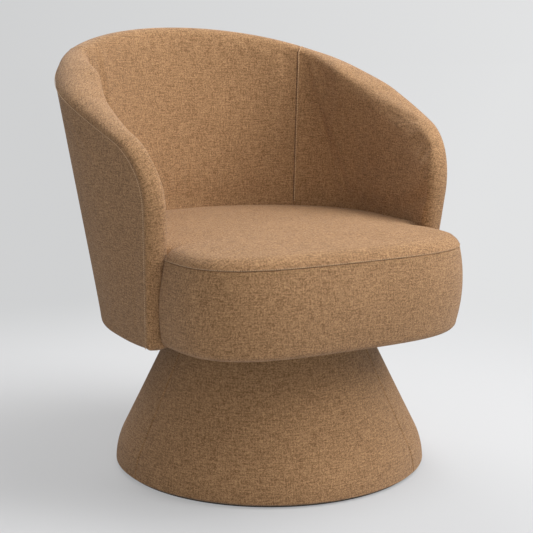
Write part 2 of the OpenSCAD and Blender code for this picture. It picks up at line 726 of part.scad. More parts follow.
// Crown of the cushion: it rolls in from its seam over crown_roll, then rises slowly to the middle
crown_flat_rise = 4;
crown_side_z = seat_crown_z - crown_flat_rise;
crown_roll_shares = [0, 0.04, 0.16, 0.36, 0.64, 1];
crown_flat_shares = [0.7, 0.35];
star_y = -ear_y(seat_seam_z) - 2 * crown_roll;
function rolled(share) = sqrt(1 - pow(1 - share, 2));
function crown_rings(inset, side_d) =
    let (edge = seat_swell(seat_seam_z) + inset,
        roll = [for (s = crown_roll_shares)
            let (h = rolled(s), w = crown_roll * s)
            seat_loop(edge + w, side_d + w,
                seat_seam_z + (crown_side_z - seat_seam_z) * h - inset,
                seat_rear_z + (crown_side_z - seat_rear_z) * h - inset)],
        last = roll[len(roll) - 1])
    concat(roll, [for (s = crown_flat_shares) [for (p = last)
        [p[0] * s, star_y + (p[1] - star_y) * s, p[2] + (seat_crown_z - crown_side_z) * (1 - pow(s, 2))]]]);

module seat_cover_top() {
    color(cloth_colour)
        cap(crown_rings(0, seat_side_d), [0, star_y, seat_crown_z], cloth_t);
}

foam_rows = 3;
module seat_foam() {
    inset = cloth_t + 2 * frame_gap;
    side_d = seat_side_d + frame_gap;
    top = seat_seam_z - 2 * inset;
    rear_top = seat_rear_z - 2 * inset;
    sides = [for (j = [0 : foam_rows])
        let (front_z = foam_bottom_z + (top - foam_bottom_z) * j / foam_rows,
            back_z = foam_bottom_z + (rear_top - foam_bottom_z) * j / foam_rows)
        seat_loop(seat_swell(front_z) + inset, side_d, front_z, back_z)];
    color(foam_colour)
        stack(concat(sides, crown_rings(inset, side_d)),
            [0, star_y, foam_bottom_z], [0, star_y, seat_crown_z - inset]);
}

dust_t = 1.2;
dust_hole_r = 135;
module dust_cover() {
    color(black_colour)
        translate([0, 0, seat_bottom_z - lay_gap - dust_t])
            linear_extrude(dust_t)
                difference() {
                    polygon(deck_outline(rail_inset + rail_t / 2, seat_rail_d + rail_t / 2, seat_bottom_z));
                    circle(dust_hole_r, $fn = round_fn);
                }
}

// Barrel frame

// The frame's members stand at stations of the seam line, counted from the middle of the back
post_station = rear_steps + side_steps + 1;
upright_stations = [2, 6, 10];
bolt_stations = [1, 5, 11];
top_rail_h = 45;
bolt_ts = [for (i = bolt_stations) for (side = [-1, 1]) side * top_line[i][0]];
bolt_seat_gap = 0.8;
// The bolts are turned a little, so that a flank never falls on a crease of the wall
bolt_twist = 25;
shell_bolt_r = 4;
shell_bolt_head_r = 7;
shell_bolt_head_t = 4;
shell_bolt_z = (platform_z + platform_t + deck_z) / 2;
shell_bolt_end_d = frame_d + 3 * cloth_t;

module along_wall(t, z, d) {
    n = out_dir(t);
    translate(wall_point(t, z, d))
        rotate([0, 0, atan2(n[1], n[0])])
            rotate([0, 90 + atan(flare(t)), 0])
                rotate([0, 0, bolt_twist])
                    children();
}

module bolt_holes() {
    for (t = bolt_ts)
        along_wall(t, shell_bolt_z, seat_rail_in_d + cut)
            cylinder(h = seat_rail_in_d - frame_d + 2 * cut, r = shell_bolt_r + lay_gap, $fn = hole_fn);
}

module shell_bolts() {
    color(steel_colour)
        for (t = bolt_ts) {
            along_wall(t, shell_bolt_z, seat_rail_in_d + shell_bolt_head_t + bolt_seat_gap)
                cylinder(h = shell_bolt_head_t, r = shell_bolt_head_r, $fn = hole_fn);
            along_wall(t, shell_bolt_z, seat_rail_in_d + shell_bolt_head_t / 2)
                cylinder(h = seat_rail_in_d + shell_bolt_head_t / 2 - shell_bolt_end_d, r = shell_bolt_r,
                    $fn = hole_fn);
        }
}

// Rail along the foot of the barrel; its outer lower edge follows the rounded cloth
shell_foot_z = shell_bottom_z + shell_foot_r;
module shell_bottom_rail() {
    heights = [shell_rail_top_z, (shell_rail_top_z + shell_foot_z) / 2, shell_foot_z, shell_rail_z];
    lower_d = shell_foot_r + cloth_t + lay_gap;
    line = inside(whole_top_line);
    color(wood_colour)
        difference() {
            slab(
                [for (p = line) [for (z = heights) wall_point(p[0], z, z > shell_rail_z ? frame_d : lower_d)]],
                [for (p = line) [for (z = heights) wall_point(p[0], z, frame_in_d)]]);
            bolt_holes();
        }
}

module shell_top_rail() {
    line = [for (p = whole_top_line) if (abs(p[0]) <= top_line[post_station][0]) p];
    function column(p, d) = [wall_point(p[0], p[1] - rim_gap, d), wall_point(p[0], p[1] - top_rail_h, d)];
    color(wood_colour)
        slab([for (p = line) column(p, frame_d)], [for (p = line) column(p, frame_in_d)]);
}

module right_uprights() {
    for (i = upright_stations)
        wall_layer([top_line[i], top_line[i + 1]], frame_d, frame_in_d, shell_rail_top_z + lay_gap, wall_rows,
            top_rail_h + lay_gap);
}

module shell_uprights() {
    color(wood_colour) {
        right_uprights();
        mirror([1, 0, 0]) right_uprights();
    }
}

module right_post() {
    first = top_line[post_station];
    line = concat([[first[0] + lay_gap / arm_len, first[1]]], tail(top_line, post_station + 1));
    wall_layer(line, frame_d, frame_in_d, shell_rail_top_z + lay_gap, wall_rows);
}

module arm_posts() {
    color(wood_colour) {
        right_post();
        mirror([1, 0, 0]) right_post();
    }
}

// Barrel padding

module shell_inner_board() {
    color(wood_colour)
        wall_layer(whole_top_line, inner_board_d, inner_board_d + board_t, inner_bottom_z, wall_rows);
}

module shell_outer_board() {
    color(wood_colour)
        wall_layer(whole_top_line, outer_board_d, outer_board_d + board_t, shell_foot_z, wall_rows);
}

module shell_foam() {
    color(foam_colour)
        wall_layer(whole_top_line, foam_d, foam_in_d, inner_bottom_z, wall_rows, filled = true);
}

// Soft roll over the rim and down the arm's front
module rim_foam() {
    depth = cloth_t + lay_gap;
    color(foam_colour)
        bar([for (i = [0 : len(whole_line) - 1])
            [for (k = [0 : roll_steps]) roll_point(i, 180 * k / roll_steps, depth)]]);
}

// Barrel cloth

first_front = len(half_line) - 1;
// Station of the whole line that matches station i of the right half
function station(i) = first_front + i;

// Column of an inside panel over rim station i of the right half: over the roll, then down the inner face
function hook_column(i, side, depth) =
    let (p = half_line[i], k = station(i * side))
    concat(
        [for (a = [0 : roll_steps - 1]) roll_point(k, 180 * a / roll_steps, depth)],
        [for (j = [0 : wall_rows])
            wall_point(side * p[0], p[1] + (inner_bottom_z - p[1]) * j / wall_rows, shell_t - depth)]);

module inner_cover_centre() {
    stations = concat([for (i = [rear_steps : -1 : 1]) [i, -1]], [for (i = [0 : rear_steps]) [i, 1]]);
    color(cloth_colour)
        slab(
            [for (s = stations) hook_column(s[0], s[1], 0)],
            [for (s = stations) hook_column(s[0], s[1], cloth_t)]);
}

// Inside panel of the right arm. Its flat part is a grid from the upright seam to the arm's front; a roll of
// cloth leaves the grid along the rim and the front, and runs on down to the foot.
arm_cols = side_steps + corner_steps;
arm_rows = wall_rows;
arm_grid = (arm_cols + 1) * (arm_rows + 1);
foot_count = len(foot_line);
edge_count = arm_cols + arm_rows + foot_count;
skin_count = arm_grid + foot_count + (edge_count + 1) * roll_steps;

function edge_id(b) =
    b <= arm_cols ? b * (arm_rows + 1)
    : b <= arm_cols + arm_rows ? arm_cols * (arm_rows + 1) + b - arm_cols
    : arm_grid + b - arm_cols - arm_rows - 1;
function roll_id(b, r) = r == 0 ? edge_id(b) : arm_grid + foot_count + b * roll_steps + r - 1;

function arm_skin(depth) = concat(
    [for (i = [0 : arm_cols]) for (j = [0 : arm_rows])
        let (p = side_line[i], z = p[1] + (inner_bottom_z - p[1]) * j / arm_rows)
        wall_point(p[0], z, shell_t + face_fill(p[0], z, p[1]) - depth)],
    [for (p = foot_line) wall_point(p[0], p[1], shell_t - depth)],
    [for (b = [0 : edge_count]) for (r = [1 : roll_steps])
        roll_point(station(rear_steps + b), 180 * (1 - r / roll_steps), depth)]);
arm_quads = concat(
    [for (i = [0 : arm_cols - 1]) for (j = [0 : arm_rows - 1])
        let (m = arm_rows + 1, a = i * m + j) [a, a + m, a + m + 1, a + 1]],
    [for (b = [0 : edge_count - 1]) for (r = [0 : roll_steps - 1])
        [roll_id(b, r + 1), roll_id(b + 1, r + 1), roll_id(b + 1, r), roll_id(b, r)]]);
arm_loop = concat(
    [for (r = [0 : roll_steps]) roll_id(0, r)],
    [for (b = [1 : edge_count]) roll_id(b, roll_steps)],
    [for (r = [roll_steps - 1 : -1 : 0]) roll_id(edge_count, r)],
    [for (b = [edge_count - 1 : -1 : arm_cols + arm_rows]) roll_id(b, 0)],
    [for (i = [arm_cols - 1 : -1 : 0]) i * (arm_rows + 1) + arm_rows],
    [for (j = [arm_rows - 1 : -1 : 1]) j]);

module right_arm_cover() {
    n = len(arm_loop);
    faces = concat(
        [for (q = arm_quads) each quad(q[0], q[1], q[2], q[3])],
        [for (q = arm_quads)
            let (s = [for (v = q) v + skin_count]) each quad(s[0], s[3], s[2], s[1])],
        [for (i = [0 : n - 1])
            let (a = arm_loop[i], b = arm_loop[(i + 1) % n]) each quad(b, a, a + skin_count, b + skin_count)]);
    polyhedron(concat(arm_skin(0), arm_skin(cloth_t)), faces);
}

module inner_cover_right() { color(cloth_colour) right_arm_cover(); }
module inner_cover_left() { color(cloth_colour) mirror([1, 0, 0]) right_arm_cover(); }

outer_hem_d = seat_rail_in_d - cloth_t;
// Column of an outside panel: down from the rim seam, round the foot and in under the rail
function outer_column(p, depth) =
    let (top = p[1] - lay_gap, r = shell_foot_r - depth)
    concat(
        [for (j = [0 : wall_rows]) wall_point(p[0], top + (shell_foot_z - top) * j / wall_rows, depth)],
        [for (j = [1 : foot_steps])
            let (a = 90 * j / foot_steps) wall_point(p[0], shell_foot_z - r * sin(a), shell_foot_r - r * cos(a))],
        [wall_point(p[0], shell_bottom_z + depth, outer_hem_d)]);

module outside_panel(line) {
    color(cloth_colour)
        slab([for (p = inside(line)) outer_column(p, 0)], [for (p = inside(line)) outer_column(p, cloth_t)]);
}

module outside_cover_centre() { outside_panel(concat(mirror_line(centre_line), tail(centre_line, 1))); }
module outside_cover_right() { outside_panel(side_line); }
module outside_cover_left() { outside_panel(mirror_line(side_line)); }

plinth_disc();
base_bottom_board();
base_ribs();
base_top_board();
base_shell();
base_wadding();
base_cover_front();
base_cover_right();
base_cover_rear();
swivel_base_plate();
swivel_lower_race();
swivel_base_screws();
swivel_pivot();
swivel_balls();
swivel_ball_cage();
swivel_upper_race();
swivel_top_plate();
swivel_top_bolts();
swivel_tee_nuts();
seat_platform();
seat_front_rail();
seat_back_rail();
corner_blocks();
seat_webbing_long();
seat_webbing_cross();
seat_edge_padding();
seat_foam();
seat_cover_top();
seat_cover_band();
dust_cover();
shell_bottom_rail();
shell_top_rail();
shell_uprights();
arm_posts();
shell_bolts();
shell_inner_board();
shell_outer_board();
shell_foam();
rim_foam();
inner_cover_centre();
inner_cover_left();
inner_cover_right();
outside_cover_centre();
outside_cover_left();
outside_cover_right();
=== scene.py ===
"""Swivel barrel chair: sewn covers over padding, on a cloth-covered cone with a ball-race swivel."""
import math

import bpy
import numpy as np
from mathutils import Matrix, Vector
from mathutils.kdtree import KDTree


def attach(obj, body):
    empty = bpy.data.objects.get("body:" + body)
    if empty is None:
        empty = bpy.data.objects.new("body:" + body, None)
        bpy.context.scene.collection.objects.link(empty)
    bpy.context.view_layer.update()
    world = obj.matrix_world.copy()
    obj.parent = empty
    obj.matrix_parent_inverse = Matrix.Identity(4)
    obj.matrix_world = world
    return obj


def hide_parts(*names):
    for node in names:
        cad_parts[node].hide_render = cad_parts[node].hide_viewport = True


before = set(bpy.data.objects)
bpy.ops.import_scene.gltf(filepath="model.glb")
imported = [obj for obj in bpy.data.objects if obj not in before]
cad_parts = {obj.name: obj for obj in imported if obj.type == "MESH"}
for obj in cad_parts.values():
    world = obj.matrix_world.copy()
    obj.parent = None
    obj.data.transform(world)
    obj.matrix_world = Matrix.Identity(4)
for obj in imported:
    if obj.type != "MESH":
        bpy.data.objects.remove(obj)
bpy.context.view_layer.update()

# Sizes, in metres

MM = 0.001
CLOTH_T = 2.5 * MM
LAY_GAP = 0.2 * MM

BASE_R = 284 * MM
BASE_H = 241 * MM
BASE_LEAN = 0.49
BASE_CURVE_R = 123 * MM
PLINTH_H = 6 * MM
BASE_SEAM_TURN = 4
BASE_TURN_IN = 40 * MM
BASE_HEM = 30 * MM

SWIVEL_H = 24 * MM
PLATFORM_Z = BASE_H - CLOTH_T - LAY_GAP + SWIVEL_H
SEAT_BOTTOM_Z = PLATFORM_Z - CLOTH_T / 2
SEAT_SEAM_Z = SEAT_BOTTOM_Z + 150 * MM
SEAT_CROWN_Z = SEAT_SEAM_Z + 28 * MM
SEAT_REAR_Z = SEAT_SEAM_Z + 21 * MM
SEAT_REACH = 306 * MM
SEAT_CORNER = 3.4
SEAT_SIDE_STEP = 17.5 * MM
SEAT_BULGE = 9 * MM
SEAT_TAPER = 0.02
SEAT_FOOT_R = 17 * MM
CROWN_ROLL = 42 * MM
CROWN_FLAT = 4 * MM
DECK_Z = SEAT_BOTTOM_Z + CLOTH_T + LAY_GAP + 56 * MM
INNER_BOTTOM_Z = DECK_Z + 3.4 * MM

HALF_W = 320 * MM
DEPTH = 272 * MM
CENTRE_Y = 79 * MM
ARM_FRONT = 116 * MM
TOE_IN = 15 * MM
ARM_LEAN = 0.135
SIDE_FLARE = 0.065
BACK_FLARE = 0.17
FLARE_GROWTH = 3.6
SHELL_BOTTOM_Z = SEAT_BOTTOM_Z - 6 * MM
PLAN_Z = SHELL_BOTTOM_Z + 228 * MM
SHELL_T = 40 * MM
ARM_FILL = 40 * MM
ARM_FILL_PLACE = 0.28
ARM_FILL_RISE = 6 * MM
RIM_RISE = 14 * MM
RIM_TOP_Z = SHELL_BOTTOM_Z + 523 * MM
RIM_FALL = 0.416
RIM_DIP = 5.5 * MM
RIM_DIP_GROWTH = 2.5
CORNER_R = 127 * MM
SHELL_FOOT_R = 10 * MM
SEAM_TURN = 45
HEM_D = 40 * MM
ARM_GAP = 1 * MM

# Points and lines

MIRROR = np.array([-1, 1, 1])


def stack(*parts):
    return np.stack(np.broadcast_arrays(*parts), -1)


def unit(v):
    return v / np.linalg.norm(v, axis=-1, keepdims=True)


def run_of(line):
    """Distance of each point along a line."""
    return np.concatenate([[0], np.cumsum(np.linalg.norm(np.diff(line, axis=0), axis=1))])


def resample(line, count):
    """Even points along a line."""
    line, run = np.asarray(line), run_of(line)
    at = np.linspace(0, run[-1], count)
    return np.stack([np.interp(at, run, line[:, k]) for k in range(line.shape[1])], 1)


# The barrel's wall

SIDE_LEN = CENTRE_Y + ARM_FRONT
BACK_LEN = (HALF_W + DEPTH) / 2 * math.pi / 2
WALL_LEN = BACK_LEN + SIDE_LEN
BACK_SHARE = BACK_LEN / WALL_LEN
SEAM_T = BACK_SHARE * SEAM_TURN / 90


def ahead(t):
    return np.maximum(np.abs(t) - BACK_SHARE, 0) / (1 - BACK_SHARE)


def sweep(t):
    return np.pi / 2 * np.minimum(np.abs(t) / BACK_SHARE, 1)


def plan(t):
    """Plan of the wall's outer face at PLAN_Z, t from -1 at the left arm's front to 1 at the right one's."""
    side = np.sign(t) * (HALF_W * np.sin(sweep(t)) - TOE_IN * ahead(t) ** 2)
    return stack(side, CENTRE_Y + DEPTH * np.cos(sweep(t)) - ahead(t) * SIDE_LEN)


def outward(t):
    """Level direction that points out of the wall."""
    return unit(stack(np.sign(t) * np.sin(sweep(t)) / HALF_W, np.cos(sweep(t)) / DEPTH, 0))


def flare(t):
    """How much the wall leans out at place t."""
    share = (plan(t)[..., 1] + ARM_FRONT) / (SIDE_LEN + DEPTH)
    return BACK_FLARE - (BACK_FLARE - SIDE_FLARE) * np.maximum(1 - share, 0) ** FLARE_GROWTH


def wall(t, z, depth=0.0):
    """Point of the wall at place t and height z, depth inward from the outer face."""
    t, z, depth = np.broadcast_arrays(np.asarray(t, float), z, depth)
    rise = z - PLAN_Z
    out = outward(t) * (flare(t) * rise - depth)[..., None]
    point = plan(t) + out[..., :2]
    return stack(point[..., 0], point[..., 1] - ARM_LEAN * ahead(t) * rise, z)


def place_at(y):
    """Place t on the right arm whose wall stands at y."""
    return BACK_SHARE + (1 - BACK_SHARE) * (CENTRE_Y - y) / SIDE_LEN


FALL = math.atan(RIM_FALL)
RIM_LEAN_H = (RIM_TOP_Z - PLAN_Z) / 2


def line_y(t):
    """How far back the rim stands at place t."""
    return plan(t)[..., 1] + outward(t)[..., 1] * flare(t) * RIM_LEAN_H


CORNER_Y = CORNER_R - ARM_FRONT
CORNER_Z = RIM_TOP_Z - RIM_FALL * (line_y(0.0) - CORNER_Y) - CORNER_R / math.cos(FALL)
ARC_T = place_at(CORNER_Y - CORNER_R * math.sin(FALL))


def rim_height(t):
    """Height of the rim seam at place t, down to the arm's front."""
    t = np.abs(t)
    dip = RIM_DIP * np.sin(np.pi * (sweep(t) * 2 / np.pi) ** RIM_DIP_GROWTH) ** 2
    fall = RIM_TOP_Z - RIM_FALL * (line_y(0.0) - line_y(t)) - dip
    reach = np.clip((CORNER_Y - (CENTRE_Y - ahead(t) * SIDE_LEN)) / CORNER_R, -1, 1)
    return np.where(t > ARC_T, CORNER_Z + CORNER_R * np.sqrt(1 - reach ** 2), fall)


CLOSE = np.array([0, 0.5, 1.0, 1.6, 2.3, 3.1, 4.1, 5.6, 8.0]) * MM


def marks(length, step, end=True):
    """Shares of a length, a step apart, and closer together at a sewn edge."""
    high = length - CLOSE[::-1] if end else np.array([length])
    count = max(int(round((high[0] - CLOSE[-1]) / step)), 2)
    return np.concatenate([CLOSE, np.linspace(CLOSE[-1], high[0], count + 1)[1:-1], high]) / length


BEAD_SPREAD = 0.55


def fold(distance, depth, width, bead=0.0):
    """How far a cover sinks at a seam, like a fold of cloth, with a bead of seam allowance beside it."""
    share = np.clip(1 - distance / width, 0, 1)
    swell = bead * np.exp(-((distance - width) / (BEAD_SPREAD * width)) ** 2)
    return depth * (1 - np.sqrt(1 - share ** 2)) - swell


RIPPLES = ((410, 0.0, 1.0), (633, 1.3, 0.7), (971, 0.4, 0.5))
RIPPLE_H, RIPPLE_START, RIPPLE_REACH = 0.175 * MM, 2 * MM, 7 * MM


def pucker(s, distance):
    """Small ripples that the stitches draw into the cloth beside a seam."""
    wave = sum(size * np.sin(s * rate + first) for rate, first, size in RIPPLES)
    return RIPPLE_H * wave * np.exp(-distance / RIPPLE_REACH) * np.clip(distance / RIPPLE_START, 0, 1)


def fill_share(t):
    """Share of the padding added inside the arm at place t."""
    u = np.maximum(np.abs(t) - SEAM_T, 0) / (1 - SEAM_T)
    x = np.where(u < ARM_FILL_PLACE, u / ARM_FILL_PLACE, (1 - u) / (1 - ARM_FILL_PLACE))
    return np.sin(np.pi / 2 * x) ** 2


FILL_FADE = 1.5


def face_fill(t, z, top):
    """Thickness of that padding under the rim: it thins to nothing above the seat."""
    return ARM_FILL * fill_share(t) * np.maximum(1 - FILL_FADE * (top - z) / (top - INNER_BOTTOM_Z), 0)


# Line of the rim seam on the right half, from the back's middle to the foot of the arm's front

STEP = 6 * MM
FINE_STEP = 0.9 * STEP
RIM_COUNT, FRONT_COUNT = 500, 200
rim_t = np.linspace(0, ARC_T, RIM_COUNT)
corner_angle = FALL + (math.pi / 2 - FALL) * np.linspace(0, 1, FRONT_COUNT)[1:]
corner_t = place_at(CORNER_Y - CORNER_R * np.sin(corner_angle))
front_z = np.linspace(CORNER_Z, SHELL_BOTTOM_Z, FRONT_COUNT + 1)[1:]
CORNER_AT = RIM_COUNT + FRONT_COUNT - 2
LINE_T = np.concatenate([rim_t, corner_t, np.ones(FRONT_COUNT)])
LINE_T[CORNER_AT:] = 1.0
LINE_Z = np.concatenate([rim_height(rim_t), CORNER_Z + CORNER_R * np.cos(corner_angle), front_z])
LINE_S = run_of(wall(LINE_T, LINE_Z))


def along(values, s):
    return np.interp(s, LINE_S, values)


S_SEAM = float(np.interp(SEAM_T, rim_t, LINE_S[:RIM_COUNT]))
S_CORNER = float(LINE_S[CORNER_AT])
S_INNER = float(np.interp(-INNER_BOTTOM_Z, -LINE_Z[CORNER_AT:], LINE_S[CORNER_AT:]))
S_END = float(LINE_S[-1])


def edge_frame(s):
    """Seam point, inward direction and direction out over the edge, at distance s along the right half."""
    side = np.where(s < 0, -1.0, 1.0)
    size = np.abs(s)

    def point(d):
        d = np.clip(d, 0, S_END)
        return wall(along(LINE_T, d), along(LINE_Z, d))

    here = point(size)
    reach = 3 * MM
    run = point(size + reach) - point(np.maximum(size - reach, 0))
    run[size < reach] = np.array([1.0, 0, 0])
    inward = -outward(along(LINE_T, size))
    over = unit(np.cross(inward, run))
    flip = stack(side, 1.0, 1.0)
    return here * flip, inward * flip, over * flip


ROLL_SQUARE, ROLL_BEVEL, ROLL_SWELL = 0.8, 0.45, 4 * MM
TURN_SPREAD, TURN_COUNT = 110 * MM, 400


def cloth_turn():
    """Direction of the cloth over the roll, turned more slowly than the rim, to keep the weave even."""
    over = edge_frame(LINE_S)[2]
    run = np.cross(outward(LINE_T), [0, 0, 1.0])
    turn = np.arctan2((over * run).sum(-1), over[:, 2])
    even_s = np.linspace(0, S_END, TURN_COUNT)
    even = np.interp(even_s, LINE_S, turn)
    return even_s, np.array([even[np.abs(even_s - place) < TURN_SPREAD].mean() for place in even_s])


def roll(s, angle, sink=0.0):
    """Point of the soft roll: angle 0 at the outer seam, pi at the inner face."""
    here, inward, over = edge_frame(s)
    share = fill_share(along(LINE_T, np.abs(s)))
    middle = (SHELL_T + ARM_FILL * share) / 2
    cos, sin = np.cos(angle), np.sin(angle)
    square = ROLL_SQUARE * share + 1 - share
    back = np.sign(cos) * np.abs(cos) ** square
    outer = np.clip(1 - angle / (math.pi / 2), 0, 1)
    back = np.where(cos > 0, back + (outer - back) * ROLL_BEVEL * share, back)
    swell = ROLL_SWELL * (1 - share) * np.where(cos > 0, np.sin(2 * angle), 0)
    across = (middle - (middle - sink) * back - swell)[..., None]
    up = (np.maximum(RIM_RISE + ARM_FILL_RISE * share - sink, 0) * np.maximum(sin, 0) ** square)[..., None]
    return here + inward * across + over * up


# Making pieces

SMOOTH_ANGLE = math.radians(50)
MERGE_D = 0.01 * MM
COVER_T = 1.6 * MM


def only(*pieces):
    bpy.ops.object.select_all(action="DESELECT")
    for piece in pieces:
        piece.select_set(True)
    bpy.context.view_layer.objects.active = pieces[0]


def new_piece(name, primitive, **settings):
    """A primitive, added with nothing else selected."""
    bpy.ops.object.select_all(action="DESELECT")
    primitive(**settings)
    piece = bpy.context.object
    piece.name = piece.data.name = name
    return piece


def co(piece):
    out = np.empty(len(piece.data.vertices) * 3)
    piece.data.vertices.foreach_get("co", out)
    return out.reshape(-1, 3)


def set_co(piece, points):
    piece.data.vertices.foreach_set("co", np.ascontiguousarray(points, float).ravel())
    piece.data.update()


def grid(name, points, lay):
    """Grid primitive laid on points[column, row]; lay gives each point's place on the flat cloth."""
    columns, rows = points.shape[:2]
    piece = new_piece(
        name, bpy.ops.mesh.primitive_grid_add, x_subdivisions=columns - 1, y_subdivisions=rows - 1, size=2)
    at = co(piece)
    i = np.rint((at[:, 0] + 1) / 2 * (columns - 1)).astype(int)
    j = np.rint((at[:, 1] + 1) / 2 * (rows - 1)).astype(int)
    set_co(piece, points[i, j])
    cloth = piece.data.attributes.new("lay", "FLOAT_VECTOR", "POINT")
    flat = np.zeros((len(i), 3))
    flat[:, :2] = lay[i, j]
    cloth.data.foreach_set("vector", flat.ravel())
    return piece


def join(*pieces):
    only(*pieces)
    if len(pieces) > 1:
        bpy.ops.object.join()
    piece = bpy.context.object
    bpy.ops.object.mode_set(mode="EDIT")
    bpy.ops.mesh.select_all(action="SELECT")
    bpy.ops.mesh.remove_doubles(threshold=MERGE_D)
    bpy.ops.mesh.normals_make_consistent(inside=False)
    bpy.ops.object.mode_set(mode="OBJECT")
    return piece


def smooth(piece):
    only(piece)
    bpy.ops.object.shade_smooth_by_angle(angle=SMOOTH_ANGLE)


def dress(mesh, material):
    mesh.materials.clear()
    mesh.materials.append(material)


def tree_of(points):
    """Search tree that finds the nearest of the points."""
    tree = KDTree(len(points))
    for n, point in enumerate(points):
        tree.insert(point, n)
    tree.balance()
    return tree


def face_out(piece, towards):
    """Turns the faces so that the one nearest to a point outside looks towards it."""
    mesh = piece.data
    centres = np.array([p.center for p in mesh.polygons])
    near = int(np.argmin(np.linalg.norm(centres - np.array(towards), axis=1)))
    poly = mesh.polygons[near]
    if (Vector(towards) - poly.center).dot(poly.normal) < 0:
        mesh.flip_normals()


def apply(piece, kind, **settings):
    mod = piece.modifiers.new(kind.title(), kind)
    for key, value in settings.items():
        setattr(mod, key, value)
    only(piece)
    bpy.ops.object.modifier_apply(modifier=mod.name)


def border(piece):
    """Points on the open edges of a piece."""
    mesh = piece.data
    count = np.zeros(len(mesh.edges), int)
    index = {e.key: n for n, e in enumerate(mesh.edges)}
    for poly in mesh.polygons:
        for key in poly.edge_keys:
            count[index[key]] += 1
    open_edges = [e.vertices for e, c in zip(mesh.edges, count) if c == 1]
    return np.unique(np.array(open_edges).ravel())


CLOTH_STEPS = 20
HOLD, HOLD_FADE = 12 * MM, 36 * MM


def fill_out(piece, pressure, cap, held_z):
    """Lets the padding press a sewn cover outward between its seams, by cloth simulation.

    Below held_z the cover stays where it is, because the seat lies against it there."""
    start = co(piece)
    tree = tree_of(start[border(piece)])
    pins = piece.vertex_groups.new(name="sewn")
    for n, point in enumerate(start):
        gap = tree.find(point)[2]
        low = min(max((held_z + HOLD_FADE - point[2]) / HOLD_FADE, 0), 1)
        weight = max(0.0, low, 1 - max(gap - HOLD, 0) / HOLD_FADE)
        if weight > 0:
            pins.add([n], weight ** 2, "REPLACE")
    mod = piece.modifiers.new("Cloth", "CLOTH")
    cloth = mod.settings
    cloth.quality = 6
    cloth.mass = 0.3
    cloth.tension_stiffness = cloth.compression_stiffness = 20
    cloth.shear_stiffness = 10
    cloth.bending_stiffness = 0.6
    cloth.use_pressure = True
    cloth.uniform_pressure_force = pressure
    cloth.vertex_group_mass = "sewn"
    cloth.effector_weights.gravity = 0
    mod.collision_settings.use_collision = False
    mod.point_cache.frame_start, mod.point_cache.frame_end = 1, CLOTH_STEPS
    scene = bpy.context.scene
    for f in range(1, CLOTH_STEPS + 1):
        scene.frame_set(f)
    done = piece.evaluated_get(bpy.context.evaluated_depsgraph_get())
    end = np.empty(len(start) * 3)
    done.data.vertices.foreach_get("co", end)
    move = end.reshape(-1, 3) - start
    size = np.linalg.norm(move, axis=1, keepdims=True)
    piece.modifiers.remove(mod)
    piece.vertex_groups.remove(pins)
    scene.frame_set(1)
    set_co(piece, start + move * np.minimum(1, cap / np.maximum(size, 1e-9)))


COVERS = {}


def finish_cover(piece, outside, body, node, pressure=0.0, cap=4 * MM, held_z=-1.0):
    face_out(piece, outside)
    if pressure:
        fill_out(piece, pressure, cap, held_z)
    COVERS[node] = co(piece), np.array([v.normal for v in piece.data.vertices])
    apply(piece, "SOLIDIFY", thickness=COVER_T, offset=-1, use_even_offset=False)
    smooth(piece)
    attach(piece, body)
    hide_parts(node)
    dress(piece.data, CLOTH)


# Finishes

class Value:
    """A number or vector on its way through a material, written as an expression."""

    def __init__(self, finish, socket):
        self.finish, self.socket = finish, socket

    def math(self, kind, *others, flip=False):
        values = [self, *others]
        if flip:
            values.reverse()
        return self.finish.node("ShaderNodeMath", {"operation": kind}, *values)

    def __add__(self, other):
        return self.math("ADD", other)

    def __sub__(self, other):
        return self.math("SUBTRACT", other)

    def __rsub__(self, other):
        return self.math("SUBTRACT", other, flip=True)

    def __mul__(self, other):
        return self.math("MULTIPLY", other)

    def __truediv__(self, other):
        return self.math("DIVIDE", other)

    __radd__ = __add__
    __rmul__ = __mul__

    def floor(self):
        return self.math("FLOOR")

    def fract(self):
        return self.math("FRACT")

    def share(self):
        """Held between 0 and 1."""
        return self.math("MINIMUM", 1.0).math("MAXIMUM", 0.0)


def between(factor, low, high):
    """Number mixed from two others."""
    return low + (high - low) * factor


